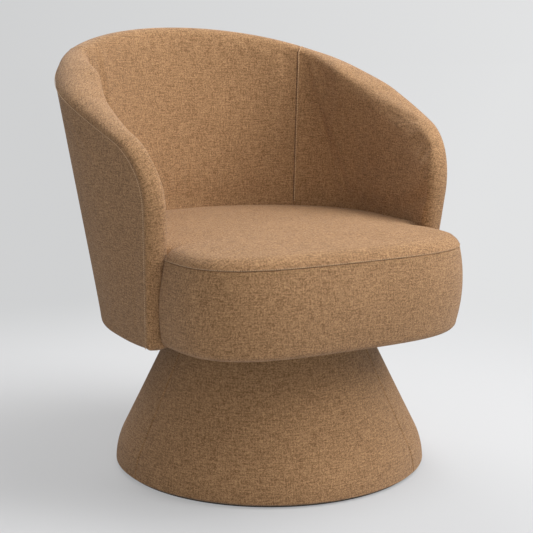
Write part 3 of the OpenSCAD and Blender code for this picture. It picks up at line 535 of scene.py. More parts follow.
class Nodes:
    """The nodes of a material or of the room."""

    MIX_LOW, MIX_HIGH, MIX_OUT = 6, 7, 2

    def __init__(self, tree):
        self.tree = tree

    def link(self, value, socket):
        self.tree.links.new(value.socket, socket)

    def node(self, kind, settings=None, *values, out=0, **named):
        made = self.tree.nodes.new(kind)
        for key, value in (settings or {}).items():
            setattr(made, key, value)
        for key, value in [*enumerate(values), *named.items()]:
            self.put(value, made.inputs[key.replace("_", " ") if isinstance(key, str) else key])
        return Value(self, made.outputs[out])

    def put(self, value, socket):
        if isinstance(value, Value):
            self.link(value, socket)
        else:
            socket.default_value = value

    def lay(self):
        return self.node("ShaderNodeAttribute", {"attribute_name": "lay"}, out="Vector")

    def place(self):
        return self.node("ShaderNodeTexCoord", out="Object")

    def split(self, vector):
        made = self.node("ShaderNodeSeparateXYZ", None, vector)
        return [Value(self, out) for out in made.socket.node.outputs]

    def vector(self, x, y, z=0.0):
        return self.node("ShaderNodeCombineXYZ", None, x, y, z)

    def noise(self, vector, scale, detail=2.0, rough=0.5):
        return self.node(
            "ShaderNodeTexNoise", None, Vector=vector, Scale=scale, Detail=detail, Roughness=rough)

    def speck(self, vector):
        """Random value of its own in each cell."""
        return self.node("ShaderNodeTexWhiteNoise", {"noise_dimensions": "2D"}, Vector=vector)

    def mix(self, factor, low, high):
        low, high = [(*v, 1) if isinstance(v, tuple) else v for v in (low, high)]
        made = self.node("ShaderNodeMix", {"data_type": "RGBA"}, factor).socket.node
        self.put(low, made.inputs[self.MIX_LOW])
        self.put(high, made.inputs[self.MIX_HIGH])
        return Value(self, made.outputs[self.MIX_OUT])

    def blend(self, factor, low, high, end):
        """Mixes two shaders and leads them to the output node named end."""
        made = self.node("ShaderNodeMixShader", None, factor)
        self.link(low, made.socket.node.inputs[1])
        self.link(high, made.socket.node.inputs[2])
        self.link(made, self.tree.nodes[end].inputs["Surface"])


class Finish(Nodes):
    """A material and the nodes that make it."""

    def __init__(self, name, **constants):
        self.material = bpy.data.materials.new(name)
        self.material.use_nodes = True
        super().__init__(self.material.node_tree)
        self.shader = self.tree.nodes["Principled BSDF"]
        for key, value in constants.items():
            self.shader.inputs[key.replace("_", " ")].default_value = value

    def feed(self, **outputs):
        for key, value in outputs.items():
            self.link(value, self.shader.inputs[key.replace("_", " ")])

    def bump(self, height, distance, strength=1.0):
        made = self.node("ShaderNodeBump", None, Strength=strength, Distance=distance, Height=height)
        self.feed(Normal=made)


# The weave: sizes of a yarn, scales of the noises, and how much each of them shades the cloth; the height
# term is painted shade, darker in the gaps between the yarns
YARN, YARN_LIFT = 1.5 * MM, 0.4 * MM
WANDER, COLUMN_WANDER, ROW_WANDER = 1.6, 30.0, 37.0
YARN_ROUND, YARN_BOW = 3.6, 1.6
YARN_APART, YARN_TONE = 7.31, 55.0
SLUB_LONG, SLUB_FINE = 45.0, 420.0
CLOUD_SCALE, MOTTLE_SCALE = 9.0, 300.0
CROSS_SHADE, TONE_SHADE, SLUB_SHADE, DOWN_SHADE = 0.6, 0.8, 0.9, 0.6
CLOUD_SHADE, MOTTLE_SHADE, GAP_PAINTED_SHADE, HEIGHT_MIDDLE = 0.2, 0.8, 0.45, 0.75
SLUB_HEIGHT, FUZZ_HEIGHT = 0.4, 0.6


def woven_cloth(name, dark, light):
    """Plain weave of heathered yarn, laid along each panel, with painted shade in the gaps between the yarns.
    """
    finish = Finish(name, Sheen_Weight=0.12, Sheen_Roughness=0.45, Specular_IOR_Level=0.15)
    lay = finish.lay()
    x, y, _ = finish.split(lay)
    u = x / YARN + (finish.noise(lay, COLUMN_WANDER) - 0.5) * WANDER
    v = y / YARN + (finish.noise(lay, ROW_WANDER) - 0.5) * WANDER
    column, row = u.floor(), v.floor()
    across, down = u.fract() - 0.5, v.fract() - 0.5
    over = ((column + row) / 2).fract() * 2
    warp = (1 - across * across * YARN_ROUND) * (1 - down * down * YARN_BOW)
    weft = (1 - down * down * YARN_ROUND) * (1 - across * across * YARN_BOW)
    height = between(over, warp, weft)
    cross = finish.speck(finish.vector(column, row))
    warp_tone = finish.noise(finish.vector(column * YARN_APART, y * YARN_TONE), 1.0)
    weft_tone = finish.noise(finish.vector(x * YARN_TONE, row * YARN_APART), 1.0)
    tone = between(over, warp_tone, weft_tone)
    slub = finish.noise(finish.vector(x * SLUB_LONG, y * SLUB_FINE), 1.0)
    slub_down = finish.noise(finish.vector(x * SLUB_FINE, y * SLUB_LONG), 1.0)
    cloud = finish.noise(lay, CLOUD_SCALE, 3.0)
    mottle = finish.noise(lay, MOTTLE_SCALE, 1.0)
    shade = (cross - 0.5) * CROSS_SHADE + (tone - 0.5) * TONE_SHADE
    shade = shade + (slub - 0.5) * SLUB_SHADE + (slub_down - 0.5) * DOWN_SHADE
    shade = shade + (cloud - 0.5) * CLOUD_SHADE + (mottle - 0.5) * MOTTLE_SHADE
    # painted shade: the colour is darker where the yarns dip into the gaps between them
    shade = shade + (height - HEIGHT_MIDDLE) * GAP_PAINTED_SHADE + 0.5
    finish.feed(Base_Color=finish.mix(shade.share(), dark, light), Roughness=0.95 - height * 0.08)
    finish.bump(height + (slub + slub_down) * SLUB_HEIGHT + (cross + tone - 1) * FUZZ_HEIGHT, YARN_LIFT)
    return finish.material


CLOTH = woven_cloth("camel_cloth", (0.17, 0.088, 0.038), (0.51, 0.3, 0.151))


def plain_finish(name, base, spread, scale, rough, metallic=0.0, grain=(1, 1, 1), lift=0.1 * MM):
    """Solid finish with a streaked or even grain."""
    finish = Finish(name, Metallic=metallic)
    place = finish.node("ShaderNodeMapping", None, Vector=finish.place(), Scale=grain)
    speck = finish.noise(place, scale, detail=4.0, rough=0.6)
    low = tuple(c * (1 - spread) for c in base)
    high = tuple(min(c * (1 + spread), 1) for c in base)
    finish.feed(Base_Color=finish.mix(speck, low, high), Roughness=rough + (speck - 0.5) * 0.2)
    finish.bump(speck, lift, 0.5)
    return finish.material


PLY = plain_finish("birch_plywood", (0.62, 0.44, 0.26), 0.22, 60, 0.6, grain=(1, 1, 9))
HARDBOARD = plain_finish("hardboard", (0.2, 0.11, 0.055), 0.2, 400, 0.75)
STEEL = plain_finish("zinc_steel", (0.56, 0.57, 0.6), 0.12, 220, 0.34, metallic=1.0)
FOAM = plain_finish("foam", (0.86, 0.8, 0.62), 0.08, 900, 0.95, lift=0.4 * MM)
# thread colour lighter than the cloth: partly the thread's own tone, partly a painted highlight for the light
# that the raised seam line catches
THREAD = plain_finish("thread", (0.66, 0.45, 0.27), 0.2, 900, 0.8)
STRAP = plain_finish("webbing", (0.035, 0.033, 0.03), 0.4, 700, 0.85, grain=(1, 4, 1), lift=0.3 * MM)
BLACK = plain_finish("black_board", (0.012, 0.012, 0.012), 0.3, 300, 0.6)
BLACK_CLOTH = plain_finish("black_lining", (0.018, 0.018, 0.019), 0.4, 1200, 0.95, lift=0.2 * MM)

# Base covers

CURVE_ANGLE = math.atan(BASE_LEAN)
CURVE_RISE = BASE_CURVE_R * math.sin(CURVE_ANGLE)
CURVE_DROP = BASE_CURVE_R * (1 - math.cos(CURVE_ANGLE))
BASE_EDGE_R, BASE_SAG, BASE_SAG_H = 4 * MM, 2 * MM, 60 * MM
BASE_SINK, BASE_FOLD_W = 3.6 * MM, 2.6 * MM
BASE_PANEL = math.radians(120)
BASE_COVERS = ["base_cover_front", "base_cover_right", "base_cover_rear"]
TURN_POINTS, CONE_POINTS = 8, 80


def base_seam(index):
    """Direction of a seam of the base, seen from above."""
    return math.radians(180 + BASE_SEAM_TURN) + BASE_PANEL * index


def base_radius(z):
    h = z - PLINTH_H
    low = BASE_R - BASE_CURVE_R + np.sqrt(np.maximum(BASE_CURVE_R ** 2 - h ** 2, 0))
    return np.where(h < CURVE_RISE, low, BASE_R - CURVE_DROP - BASE_LEAN * (h - CURVE_RISE))


def base_profile():
    """Cover's profile from its turned-in hem on the floor side up over the cone and in at the top."""
    edge = BASE_EDGE_R
    low = PLINTH_H - BASE_SAG + edge
    foot = [(BASE_R + BASE_SAG - edge + edge * math.cos(a), low + edge * math.sin(a))
            for a in np.linspace(-math.pi / 2, 0, TURN_POINTS)]
    side = [(float(base_radius(max(z, PLINTH_H)) + BASE_SAG * math.exp(-(z - low) / BASE_SAG_H)), z)
            for z in np.linspace(low, BASE_H - edge, CONE_POINTS)[1:]]
    r_top = side[-1][0]
    top = [(r_top + edge * (math.cos(a) - math.cos(CURVE_ANGLE)), BASE_H - edge + edge * math.sin(a))
           for a in np.linspace(CURVE_ANGLE, math.pi / 2, TURN_POINTS)[1:]]
    return [(BASE_R - BASE_TURN_IN, PLINTH_H + LAY_GAP), *foot, *side, *top, (r_top - BASE_HEM, BASE_H)]


def base_cover(index, node):
    length = run_of(base_profile())[-1]
    run = np.linspace(0, length, max(int(length / FINE_STEP), 2) + 1)
    profile = resample(base_profile(), len(run))
    first = base_seam(index)
    shares = marks(BASE_R * BASE_PANEL, STEP)
    angle = (first + BASE_PANEL * shares)[:, None]
    gap = np.minimum(shares, 1 - shares)[:, None] * BASE_PANEL * profile[:, 0]
    sink = fold(gap, BASE_SINK, BASE_FOLD_W)
    slope = unit(np.gradient(profile, axis=0))
    radius = profile[:, 0] - slope[:, 1] * sink
    height = profile[:, 1] + slope[:, 0] * sink
    points = stack(radius * np.cos(angle), radius * np.sin(angle), height)
    middle = first + BASE_PANEL / 2
    lay = stack((angle - middle) * profile[:, 0], run)
    piece = join(grid(node + "_sewn", points, lay))
    finish_cover(piece, (math.cos(middle), math.sin(middle), 0.15), "base", node)


for n, node in enumerate(BASE_COVERS):
    base_cover(n, node)

# Barrel covers

UPRIGHT_SINK, UPRIGHT_W = 4 * MM, 2.4 * MM
OUTER_SINK = 0.6 * UPRIGHT_SINK
RIM_SINK, RIM_W = 2.2 * MM, 2.2 * MM
SEAM_BEAD = 0.8 * MM
PANEL_SAG, PANEL_SAG_H = 5 * MM, 90 * MM
PANEL_H = 500 * MM
ARM_EDGE = np.array([5.4, 3.8, 2.5, 1.5, 0.7]) * MM
ARC_CLEAR, ARC_POINTS, HEM_POINTS = 0.003, 34, 6


def lay_on_wall(t, z):
    """Place on the flat cloth of a point of the wall."""
    length = np.sign(t) * np.interp(np.abs(t), [0, BACK_SHARE, 1], [0, BACK_LEN, WALL_LEN])
    return stack(length, z)


def outside_places(t_first, t_last):
    """Places of the columns of an outer panel, closer together at its seams."""
    t = t_first + (t_last - t_first) * marks(abs(t_last - t_first) * WALL_LEN, FINE_STEP)
    if abs(t_last) < 1:
        return t
    # the front edge is close to the arm's front, where the rim falls fast
    turn = np.linspace(0, 1, ARC_POINTS)[1:]
    arc = place_at(CORNER_Y - CORNER_R * np.sin(FALL + (math.pi / 2 - FALL) * turn))
    first = np.abs(t[np.abs(t) < ARC_T - ARC_CLEAR])
    end = 1 - ARM_EDGE / SIDE_LEN * (1 - BACK_SHARE)
    t = np.unique(np.concatenate([first, [ARC_T], np.minimum(arc, 1), end]))
    return math.copysign(1, t_last) * t


def outside_cover(node, t_first, t_last, outside):
    """Outer panel from the rim seam down, round the foot and in under the rail."""
    t = outside_places(t_first, t_last)
    rows = marks(PANEL_H, STEP, end=False)
    top = rim_height(t)[:, None]
    foot_z = SHELL_BOTTOM_Z + SHELL_FOOT_R
    turn = np.linspace(0, math.pi / 2, TURN_POINTS)[1:]
    hem = np.linspace(SHELL_FOOT_R, HEM_D, HEM_POINTS)[1:]
    low_z = np.concatenate([foot_z - SHELL_FOOT_R * np.sin(turn), np.full(len(hem), SHELL_BOTTOM_Z)])
    low_depth = np.concatenate([SHELL_FOOT_R * (1 - np.cos(turn)), hem])
    z = np.hstack([top + (foot_z - top) * rows, np.tile(low_z, (len(t), 1))])
    depth = np.hstack([np.zeros((len(t), len(rows))), np.tile(low_depth, (len(t), 1))])
    # distance to the rim seam and to the upright seams
    rim = wall(LINE_T[::4], LINE_Z[::4])
    tree = tree_of(np.concatenate([rim, rim * MIRROR]))
    gap = np.array([tree.find(p)[2] for p in wall(t[:, None], z).reshape(-1, 3)]).reshape(z.shape)
    gap[:, 0] = 0
    sink = fold(gap, RIM_SINK, RIM_W)
    for edge in (t_first, t_last):
        if abs(edge) < 1:
            near = np.abs(t - edge)[:, None] * WALL_LEN
            sink = np.maximum(sink, fold(near, OUTER_SINK, UPRIGHT_W))
        else:
            near = (1 - np.abs(t))[:, None] * SIDE_LEN / (1 - BACK_SHARE)
            sink = np.maximum(sink, fold(near, RIM_SINK, RIM_W))
    points = wall(t[:, None], z, depth + sink)
    if abs(t_last) == 1:
        middle = np.sin(np.clip((np.abs(t) - SEAM_T) / (1 - SEAM_T), 0, 1) ** 2 * math.pi)[:, None]
        low = np.clip((SHELL_BOTTOM_Z + PANEL_SAG_H - z) / PANEL_SAG_H, 0, 1)
        points[..., 2] -= PANEL_SAG * middle * low ** 2
    piece = join(grid(node + "_sewn", points, lay_on_wall(t[:, None], z - depth)))
    finish_cover(piece, outside, "seat", node, pressure=0.6, cap=2.5 * MM)


outside_cover("outside_cover_centre", -SEAM_T, SEAM_T, (0, 1.2, 0.5))
outside_cover("outside_cover_right", SEAM_T, 1.0, (1.2, 0.1, 0.45))
outside_cover("outside_cover_left", -SEAM_T, -1.0, (-1.2, 0.1, 0.45))

CLOTH_TURN = cloth_turn()
ROLL_STEP, ROLL_MEAN = 4 * MM, 0.3
FACE_ROWS, FRONT_ROWS, LOW_ROWS, FOOT_ROWS = 64, 38, 11, 9
CLOSED_UNDER = np.array([3, 6, 9]) * MM


def roll_girth(share):
    """Length of cloth over the roll, as half the round of an ellipse."""
    a, b = (SHELL_T + ARM_FILL * share) / 2, RIM_RISE + ARM_FILL_RISE * share
    return math.pi / 2 * (3 * (a + b) - np.sqrt((3 * a + b) * (a + 3 * b)))


def roll_strip(s, closed=np.zeros(1)):
    """The part of an inside cover that lies over the soft roll, from the rim seam to the inner face.

    Where it is closed, the cloth is drawn in to the wall's middle by that much more."""
    angle = math.pi * marks(roll_girth(ROLL_MEAN), ROLL_STEP, end=False)
    s, angle = np.broadcast_arrays(s[:, None], angle[None, :])
    size = np.abs(s)
    arc = angle / math.pi * roll_girth(fill_share(along(LINE_T, size)))
    sink = fold(arc, RIM_SINK, RIM_W, SEAM_BEAD) - pucker(s, arc)
    # rounded under at the arm's foot
    low = np.clip((size - S_END + SHELL_FOOT_R) / SHELL_FOOT_R, 0, 1)
    sink = sink + SHELL_FOOT_R * (1 - np.sqrt(1 - low ** 2)) + closed[:, None]
    points = roll(s.ravel(), angle.ravel(), sink.ravel()).reshape(*s.shape, 3)
    side = np.where(s < 0, -1, 1)
    base = lay_on_wall(along(LINE_T, size) * side, along(LINE_Z, size))
    turn = np.interp(size, *CLOTH_TURN)
    steps = np.linalg.norm(np.diff(points, axis=1), axis=2)
    rest = np.hstack([np.cumsum(steps[:, ::-1], axis=1)[:, ::-1], np.zeros((len(s), 1))])
    return points, base + stack(side * np.sin(turn), np.cos(turn)) * rest[..., None]


def inside_face(t, rows):
    """The flat part of an inside cover, from the roll down behind the seat."""
    top = rim_height(t)[:, None]
    z = top + (INNER_BOTTOM_Z - top) * rows[None, :]
    depth = SHELL_T + face_fill(t[:, None], z, top)
    return wall(t[:, None], z, depth), lay_on_wall(t[:, None], z)


def sink_at_seam(points, near, direction, bead=0.0):
    return points + direction * fold(near, UPRIGHT_SINK, UPRIGHT_W, bead)[..., None]


def finish_inner(piece, outside, node):
    finish_cover(piece, outside, "seat", node, pressure=1.2, cap=4 * MM, held_z=SEAT_CROWN_Z)


def inner_centre():
    s = -S_SEAM + 2 * S_SEAM * marks(2 * S_SEAM, STEP)
    points, lay = roll_strip(s)
    t = along(LINE_T, np.abs(s)) * np.where(s < 0, -1, 1)
    face, face_lay = inside_face(t, np.linspace(0, 1, FACE_ROWS))
    points = np.concatenate([points, face[:, 1:]], 1)
    lay = np.concatenate([lay, face_lay[:, 1:]], 1)
    # at its upright seams the cover sinks into the padding
    centre = wall(t[:, None], np.minimum(points[..., 2], rim_height(t)[:, None]), SHELL_T / 2)
    near = np.minimum(s + S_SEAM, S_SEAM - s)[:, None]
    points = sink_at_seam(points, near, unit(centre - points))
    finish_inner(join(grid("inner_cover_centre_sewn", points, lay)), (0, -0.3, 0.65), "inner_cover_centre")


def inner_arm(side, node):
    s_top = S_SEAM + (S_CORNER - S_SEAM) * marks(S_CORNER - S_SEAM, STEP, end=False)
    s_front = np.linspace(S_CORNER, S_INNER, FRONT_ROWS)[1:]
    s_foot = np.concatenate([
        np.linspace(S_INNER, S_END - SHELL_FOOT_R, LOW_ROWS)[1:],
        S_END - SHELL_FOOT_R * (1 - np.sin(np.linspace(0, math.pi / 2, FOOT_ROWS)[1:]))])
    s = np.concatenate([s_top, s_front, s_foot, np.full(len(CLOSED_UNDER), S_END)])
    closed = np.concatenate([np.zeros(len(s) - len(CLOSED_UNDER)), CLOSED_UNDER])
    strip, strip_lay = roll_strip(s, closed)
    t = along(LINE_T, s_top)
    t[-1] = 1.0
    corner_z = LINE_Z[CORNER_AT]
    rows = (along(LINE_Z, np.append(S_CORNER, s_front)) - corner_z) / (INNER_BOTTOM_Z - corner_z)
    face, face_lay = inside_face(t, rows)
    t_all = along(LINE_T, s)[:, None]
    middle = (SHELL_T + ARM_FILL * fill_share(t_all)) / 2
    centre = wall(t_all, np.minimum(strip[..., 2], along(LINE_Z, s)[:, None]), middle)
    strip = sink_at_seam(strip, (s - S_SEAM)[:, None], unit(centre - strip), SEAM_BEAD)
    face = sink_at_seam(face, (s_top - S_SEAM)[:, None], outward(t)[:, None, :], SEAM_BEAD)
    # the face takes its two upper edges from the roll, so that they meet point by point
    face[:, 0] = strip[:len(s_top), -1]
    face[-1, 1:] = strip[len(s_top):len(s_top) + len(s_front), -1]
    flip = np.array([side, 1, 1])
    upper = grid("arm_roll", strip * flip, strip_lay * flip[:2])
    lower = grid(node + "_sewn", face * flip, face_lay * flip[:2])
    finish_inner(join(lower, upper), (side * 0.1, -0.1, 0.6), node)


inner_centre()
inner_arm(1, "inner_cover_right")
inner_arm(-1, "inner_cover_left")

# Seat covers

SEAT_SINK, SEAT_SEAM_W = 1.8 * MM, 2 * MM
SEAT_MID_Z = (SEAT_BOTTOM_Z + SEAT_SEAM_Z) / 2
SEAT_HALF_H = (SEAT_SEAM_Z - SEAT_BOTTOM_Z) / 2
SEAT_SIDE_D = SHELL_T + 6 * LAY_GAP
SEAT_SPREAD = 2.5 * MM
SEAT_HEM = 48 * MM
FINE_COUNT, OUTLINE_COUNT, SHORT_COUNT, BACK_COUNT = 3001, 400, 200, 230


def arm_x(z, depth):
    return float(wall(1.0, z, depth)[0])


SEAT_HALF_W = arm_x(SEAT_MID_Z, 0) - SEAT_SIDE_STEP + SEAT_SPREAD


def ear_y(z):
    """How far in front of the axis the seat's ears begin."""
    return ARM_FRONT + ARM_LEAN * (z - PLAN_Z) + RIM_RISE + ARM_GAP


def seat_swell(z):
    """How far the band stands in from the seat's widest outline at height z."""
    return SEAT_BULGE * ((z - SEAT_MID_Z) / SEAT_HALF_H) ** 2 + SEAT_TAPER * (SEAT_SEAM_Z - z)


def seat_front(inset, z):
    """Front edge of the seat from the left ear round to the right one."""
    a = np.pi / 2 * np.linspace(-1, 1, FINE_COUNT)
    p = 2 / SEAT_CORNER
    x = (SEAT_HALF_W - inset) * np.sign(a) * np.abs(np.sin(a)) ** p
    y = -ear_y(z) - (SEAT_REACH - ear_y(z) - inset) * np.abs(np.cos(a)) ** p
    return resample(np.stack([x, y], 1), OUTLINE_COUNT)


EAR_R, EAR_ROUND = 6 * MM, 0.6
EAR_COUNT, EAR_TURN = 9, 7


def ear(inset, depth, z):
    """Back of the right ear: along the front of the arm, from the seat's side to the arm's inner face."""
    x_out = SEAT_HALF_W - inset
    x_mid, y_mid = arm_x(z, SHELL_T / 2), -ARM_FRONT - ARM_LEAN * (z - PLAN_Z)
    half, reach = depth - SHELL_T / 2, RIM_RISE + ARM_GAP + depth - SEAT_SIDE_D

    def back(x):
        return y_mid - reach * np.sqrt(1 - np.clip((x_mid - x) / half, 0, 1) ** 2)

    cut = min(EAR_R, EAR_ROUND * (x_out - x_mid + half))
    first, tip = x_out - cut, back(x_out)
    share = np.linspace(0, 1, EAR_TURN)[:, None]
    corner = ((1 - share) ** 2 * [x_out, tip - EAR_R] + 2 * share * (1 - share) * [x_out, tip]
              + share ** 2 * [first, back(first)])
    start = math.asin(min(max((x_mid - first) / half, 0), 1))
    x = x_mid - half * np.sin(np.linspace(start, math.pi / 2, EAR_COUNT + 1)[1:])
    if start == 0:
        x = np.linspace(first, x_mid - half, EAR_COUNT + 1)[1:]
    return corner, np.stack([x, back(x)], 1)


def seat_outline(inset, depth, z):
    """Front outline with both ears, from the left arm's inner face round to the right one's."""
    front = seat_front(inset, z)
    corner, back = ear(inset, depth, z)
    keep = front[front[:, 1] < corner[0, 1]]
    front = resample(np.concatenate([[corner[0] * MIRROR[:2]], keep, [corner[0]]]), SHORT_COUNT)
    left = np.concatenate([back[::-1], corner[:0:-1]]) * MIRROR[:2]
    return np.concatenate([left, front, corner[1:], back])


BAND_LOW_Z = SEAT_BOTTOM_Z + SEAT_FOOT_R
BAND_TURN, BAND_HEM = 11, 5


def band_profile():
    """Insets and heights of the band, from the seam down, round the foot and in under the rail."""
    rows = marks(SEAT_SEAM_Z - BAND_LOW_Z, FINE_STEP, end=False)
    side_z = SEAT_SEAM_Z + (BAND_LOW_Z - SEAT_SEAM_Z) * rows
    side = seat_swell(side_z) + fold(SEAT_SEAM_Z - side_z, SEAT_SINK, SEAT_SEAM_W)
    a = np.linspace(0, math.pi / 2, BAND_TURN)[1:]
    foot = seat_swell(BAND_LOW_Z) + SEAT_FOOT_R * (1 - np.cos(a))
    hem = np.linspace(foot[-1], SEAT_HEM, BAND_HEM)[1:]
    insets = np.concatenate([side, foot, hem])
    heights = np.concatenate([side_z, BAND_LOW_Z - SEAT_FOOT_R * np.sin(a), np.full(len(hem), SEAT_BOTTOM_Z)])
    return np.stack([insets, heights], 1), len(rows) // 2


def seat_band():
    profile, middle = band_profile()
    loops = [seat_outline(inset, SEAT_SIDE_D, z) for inset, z in profile]
    rows = [np.column_stack([loop, np.full(len(loop), z)]) for loop, (_, z) in zip(loops, profile)]
    run = run_of(loops[middle])
    lay = stack((run - run[-1] / 2)[:, None], -run_of(profile))
    piece = join(grid("seat_cover_band_sewn", np.stack(rows, 1), lay))
    finish_cover(piece, (0, -1.2, 0.34), "seat", "seat_cover_band", pressure=1.0, cap=3 * MM)


CROWN_RISE = SEAT_CROWN_Z - CROWN_FLAT - SEAT_SEAM_Z
REAR_RISE = SEAT_CROWN_Z - CROWN_FLAT - SEAT_REAR_Z
CROWN_CENTRE = np.array([0, -140 * MM])
EDGE_TURN, EDGE_RINGS, CROWN_RINGS = 0.75, 5, 36
WALL_COUNT, WALL_TRIM, SEARCH_COUNT = 900, 8, 12000
ROUND_COUNT, ROUND_REACH, EVEN_ROUNDS, FLAT_FADE = 361, 16, 12, 8


def top_outline(front_in, back_in):
    """Edge of the seat's top: front and ears, then the line along the barrel's inside face."""
    front = seat_outline(float(seat_swell(SEAT_SEAM_Z)) + front_in, SEAT_SIDE_D + back_in, SEAT_SEAM_Z)
    line = wall(np.linspace(1, -1, WALL_COUNT), SEAT_REAR_Z, SEAT_SIDE_D + back_in)[:, :2]
    line = np.concatenate([front[-1:], line[WALL_TRIM:-WALL_TRIM], front[:1]])
    return front, resample(line, BACK_COUNT)[1:-1]


def on_floor(points):
    return np.column_stack([points, np.zeros(len(points))])


def crown(points, tree, low, rise):
    """Height of the seat's top over points, by their distance from the edge that a tree holds."""
    distance = np.array([tree.find(point)[2] for point in on_floor(points)])
    return low + rise * np.sqrt(1 - (1 - np.minimum(distance / CROWN_ROLL, 1)) ** 2)


def round_off(way, reach):
    """Reach of the outline in each direction, without its corners."""
    # smoothed over the direction seen from the middle, not over the points, which crowd at the ears
    turn = np.unwrap(np.arctan2(way[:, 1], way[:, 0]))
    even = np.linspace(turn[0], turn[0] + 2 * math.pi, ROUND_COUNT)
    wide = np.interp(even, np.append(turn, turn[0] + 2 * math.pi), np.append(reach, reach[0]))[:-1]
    wide = np.mean([np.roll(wide, k) for k in range(-ROUND_REACH, ROUND_REACH + 1)], axis=0)
    return np.interp(turn, even, np.append(wide, wide[0]))


def seat_top():
    edge_front, edge_back = top_outline(0.0, 0.0)
    edge_back = np.concatenate([edge_front[-1:], edge_back, edge_front[:1]])
    front_tree = tree_of(on_floor(resample(edge_front, SEARCH_COUNT)))
    back_tree = tree_of(on_floor(resample(edge_back, SEARCH_COUNT)))

    def height(at):
        return np.minimum(
            crown(at, front_tree, SEAT_SEAM_Z, CROWN_RISE), crown(at, back_tree, SEAT_REAR_Z, REAR_RISE))

    turns = np.append(CLOSE / CROWN_RISE, np.linspace(CLOSE[-1] / CROWN_RISE, EDGE_TURN, EDGE_RINGS)[1:])
    rings = []
    for a in turns:
        w = CROWN_ROLL * (1 - math.cos(a))
        sink = float(fold(a * CROWN_RISE, SEAT_SINK, SEAT_SEAM_W, SEAM_BEAD))
        steep = math.hypot(CROWN_RISE * math.cos(a), CROWN_ROLL * math.sin(a))
        front, back = top_outline(w + sink * CROWN_RISE * math.cos(a) / steep, w)
        at = np.concatenate([front, back])
        z = height(at)
        front_z = SEAT_SEAM_Z + CROWN_RISE * math.sin(a) - sink * CROWN_ROLL * math.sin(a) / steep
        z[:len(front)] = np.minimum(front_z, z[:len(front)] + (w < CROWN_RISE / 2) * CROWN_RISE)
        rings.append(np.column_stack([at, z]))
    # from there the rings run in to one point, and lose the corners of the outline on the way
    last = rings[-1]
    reach = np.linalg.norm(last[:, :2] - CROWN_CENTRE, axis=1)
    way = (last[:, :2] - CROWN_CENTRE) / reach[:, None]
    round_reach = round_off(way, reach)
    for share in np.linspace(1, 0, CROWN_RINGS)[1:]:
        keep = np.clip((share - EDGE_TURN) / (1 - EDGE_TURN), 0, 1)
        keep = keep * keep * (3 - 2 * keep)
        at = CROWN_CENTRE + way * (share * (round_reach + (reach - round_reach) * keep))[:, None]
        span = np.minimum(np.linalg.norm(at - CROWN_CENTRE, axis=1) / round_reach, 1)
        flat = CROWN_FLAT * (1 - span ** 2) * min((1 - share) * FLAT_FADE, 1)
        rings.append(np.column_stack([at, height(at) + flat]))
    points = np.stack(rings, 1)
    first = len(turns) - 3
    for _ in range(EVEN_ROUNDS):
        z = points[..., 2]
        even = (np.roll(z, 1, 0) + np.roll(z, -1, 0))[:, 1:-1] + z[:, 2:] + z[:, :-2]
        points[:, first:-1, 2] = (z[:, 1:-1] + even / 4)[:, first - 1:] / 2
        points[:, -1, 2] = points[:, -2, 2].mean()
    points = np.concatenate([points, points[:1]])
    steps = np.linalg.norm(np.diff(points, axis=1), axis=2)
    arc = np.hstack([np.cumsum(steps[:, ::-1], 1)[:, ::-1], np.zeros((len(points), 1))])
    direction = unit(points[:, 0, :2] - CROWN_CENTRE)
    lay = CROWN_CENTRE + direction[:, None, :] * arc[..., None]
    piece = join(grid("seat_cover_top_sewn", points, lay))
    finish_cover(piece, (0, -0.1, 1.5), "seat", "seat_cover_top", pressure=1.0, cap=4 * MM)

seat_band()
seat_top()

# Padding and lining under the covers

TUCK_ROUNDS, TUCK_REACH = 2, 4


def node_copy(name, node, body):
    """New piece with the form of a node, its loose triangles merged."""
    piece = new_piece(name, bpy.ops.mesh.primitive_cube_add, size=1)
    piece.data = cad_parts[node].data.copy()
    join(piece)
    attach(piece, body)
    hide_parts(node)
    return piece


def tuck_in(piece, covers, clear):
    """Presses the padding back wherever it comes closer than clear to the outside of its covers."""
    place = np.concatenate([COVERS[node][0] for node in covers])
    normal = np.concatenate([COVERS[node][1] for node in covers])
    tree = tree_of(place)
    points = co(piece)
    for _ in range(TUCK_ROUNDS):
        near = np.array([tree.find(point)[1] for point in points])
        over = ((points - place[near]) * normal[near]).sum(1) + clear
        reach = np.linalg.norm(points - place[near], axis=1)
        over = np.where(reach < TUCK_REACH * clear, np.maximum(over, 0), 0)
        points = points - normal[near] * over[:, None]
    set_co(piece, points)


def padding(name, node, body, levels, covers, clear):
    """Cut foam or wadding, pressed into shape by the covers over it."""
    piece = node_copy(name, node, body)
    apply(piece, "SUBSURF", subdivision_type="SIMPLE", levels=levels, render_levels=levels)
    tuck_in(piece, covers, clear)
    smooth(piece)
    dress(piece.data, FOAM)


BASE_CLEAR, SEAT_CLEAR, WALL_CLEAR = 2.6 * MM, 3.2 * MM, 5 * MM
SEAT_COVERS = ["seat_cover_band", "seat_cover_top"]
INNER = ["inner_cover_centre", "inner_cover_left", "inner_cover_right"]
OUTER = ["outside_cover_centre", "outside_cover_left", "outside_cover_right"]
padding("base_wadding_sewn", "base_wadding", "base", 1, BASE_COVERS, BASE_CLEAR)
padding("seat_edge_padding_cut", "seat_edge_padding", "seat", 2, SEAT_COVERS[:1], SEAT_CLEAR)
padding("seat_foam_cut", "seat_foam", "seat", 2, SEAT_COVERS, SEAT_CLEAR)
padding("shell_foam_cut", "shell_foam", "seat", 3, INNER, WALL_CLEAR)
padding("rim_foam_cut", "rim_foam", "seat", 3, INNER + OUTER, WALL_CLEAR)


def lining():
    """Black lining stapled flat under the seat's frame."""
    piece = node_copy("dust_cover_stapled", "dust_cover", "seat")
    dress(piece.data, BLACK_CLOTH)


lining()

# Thread

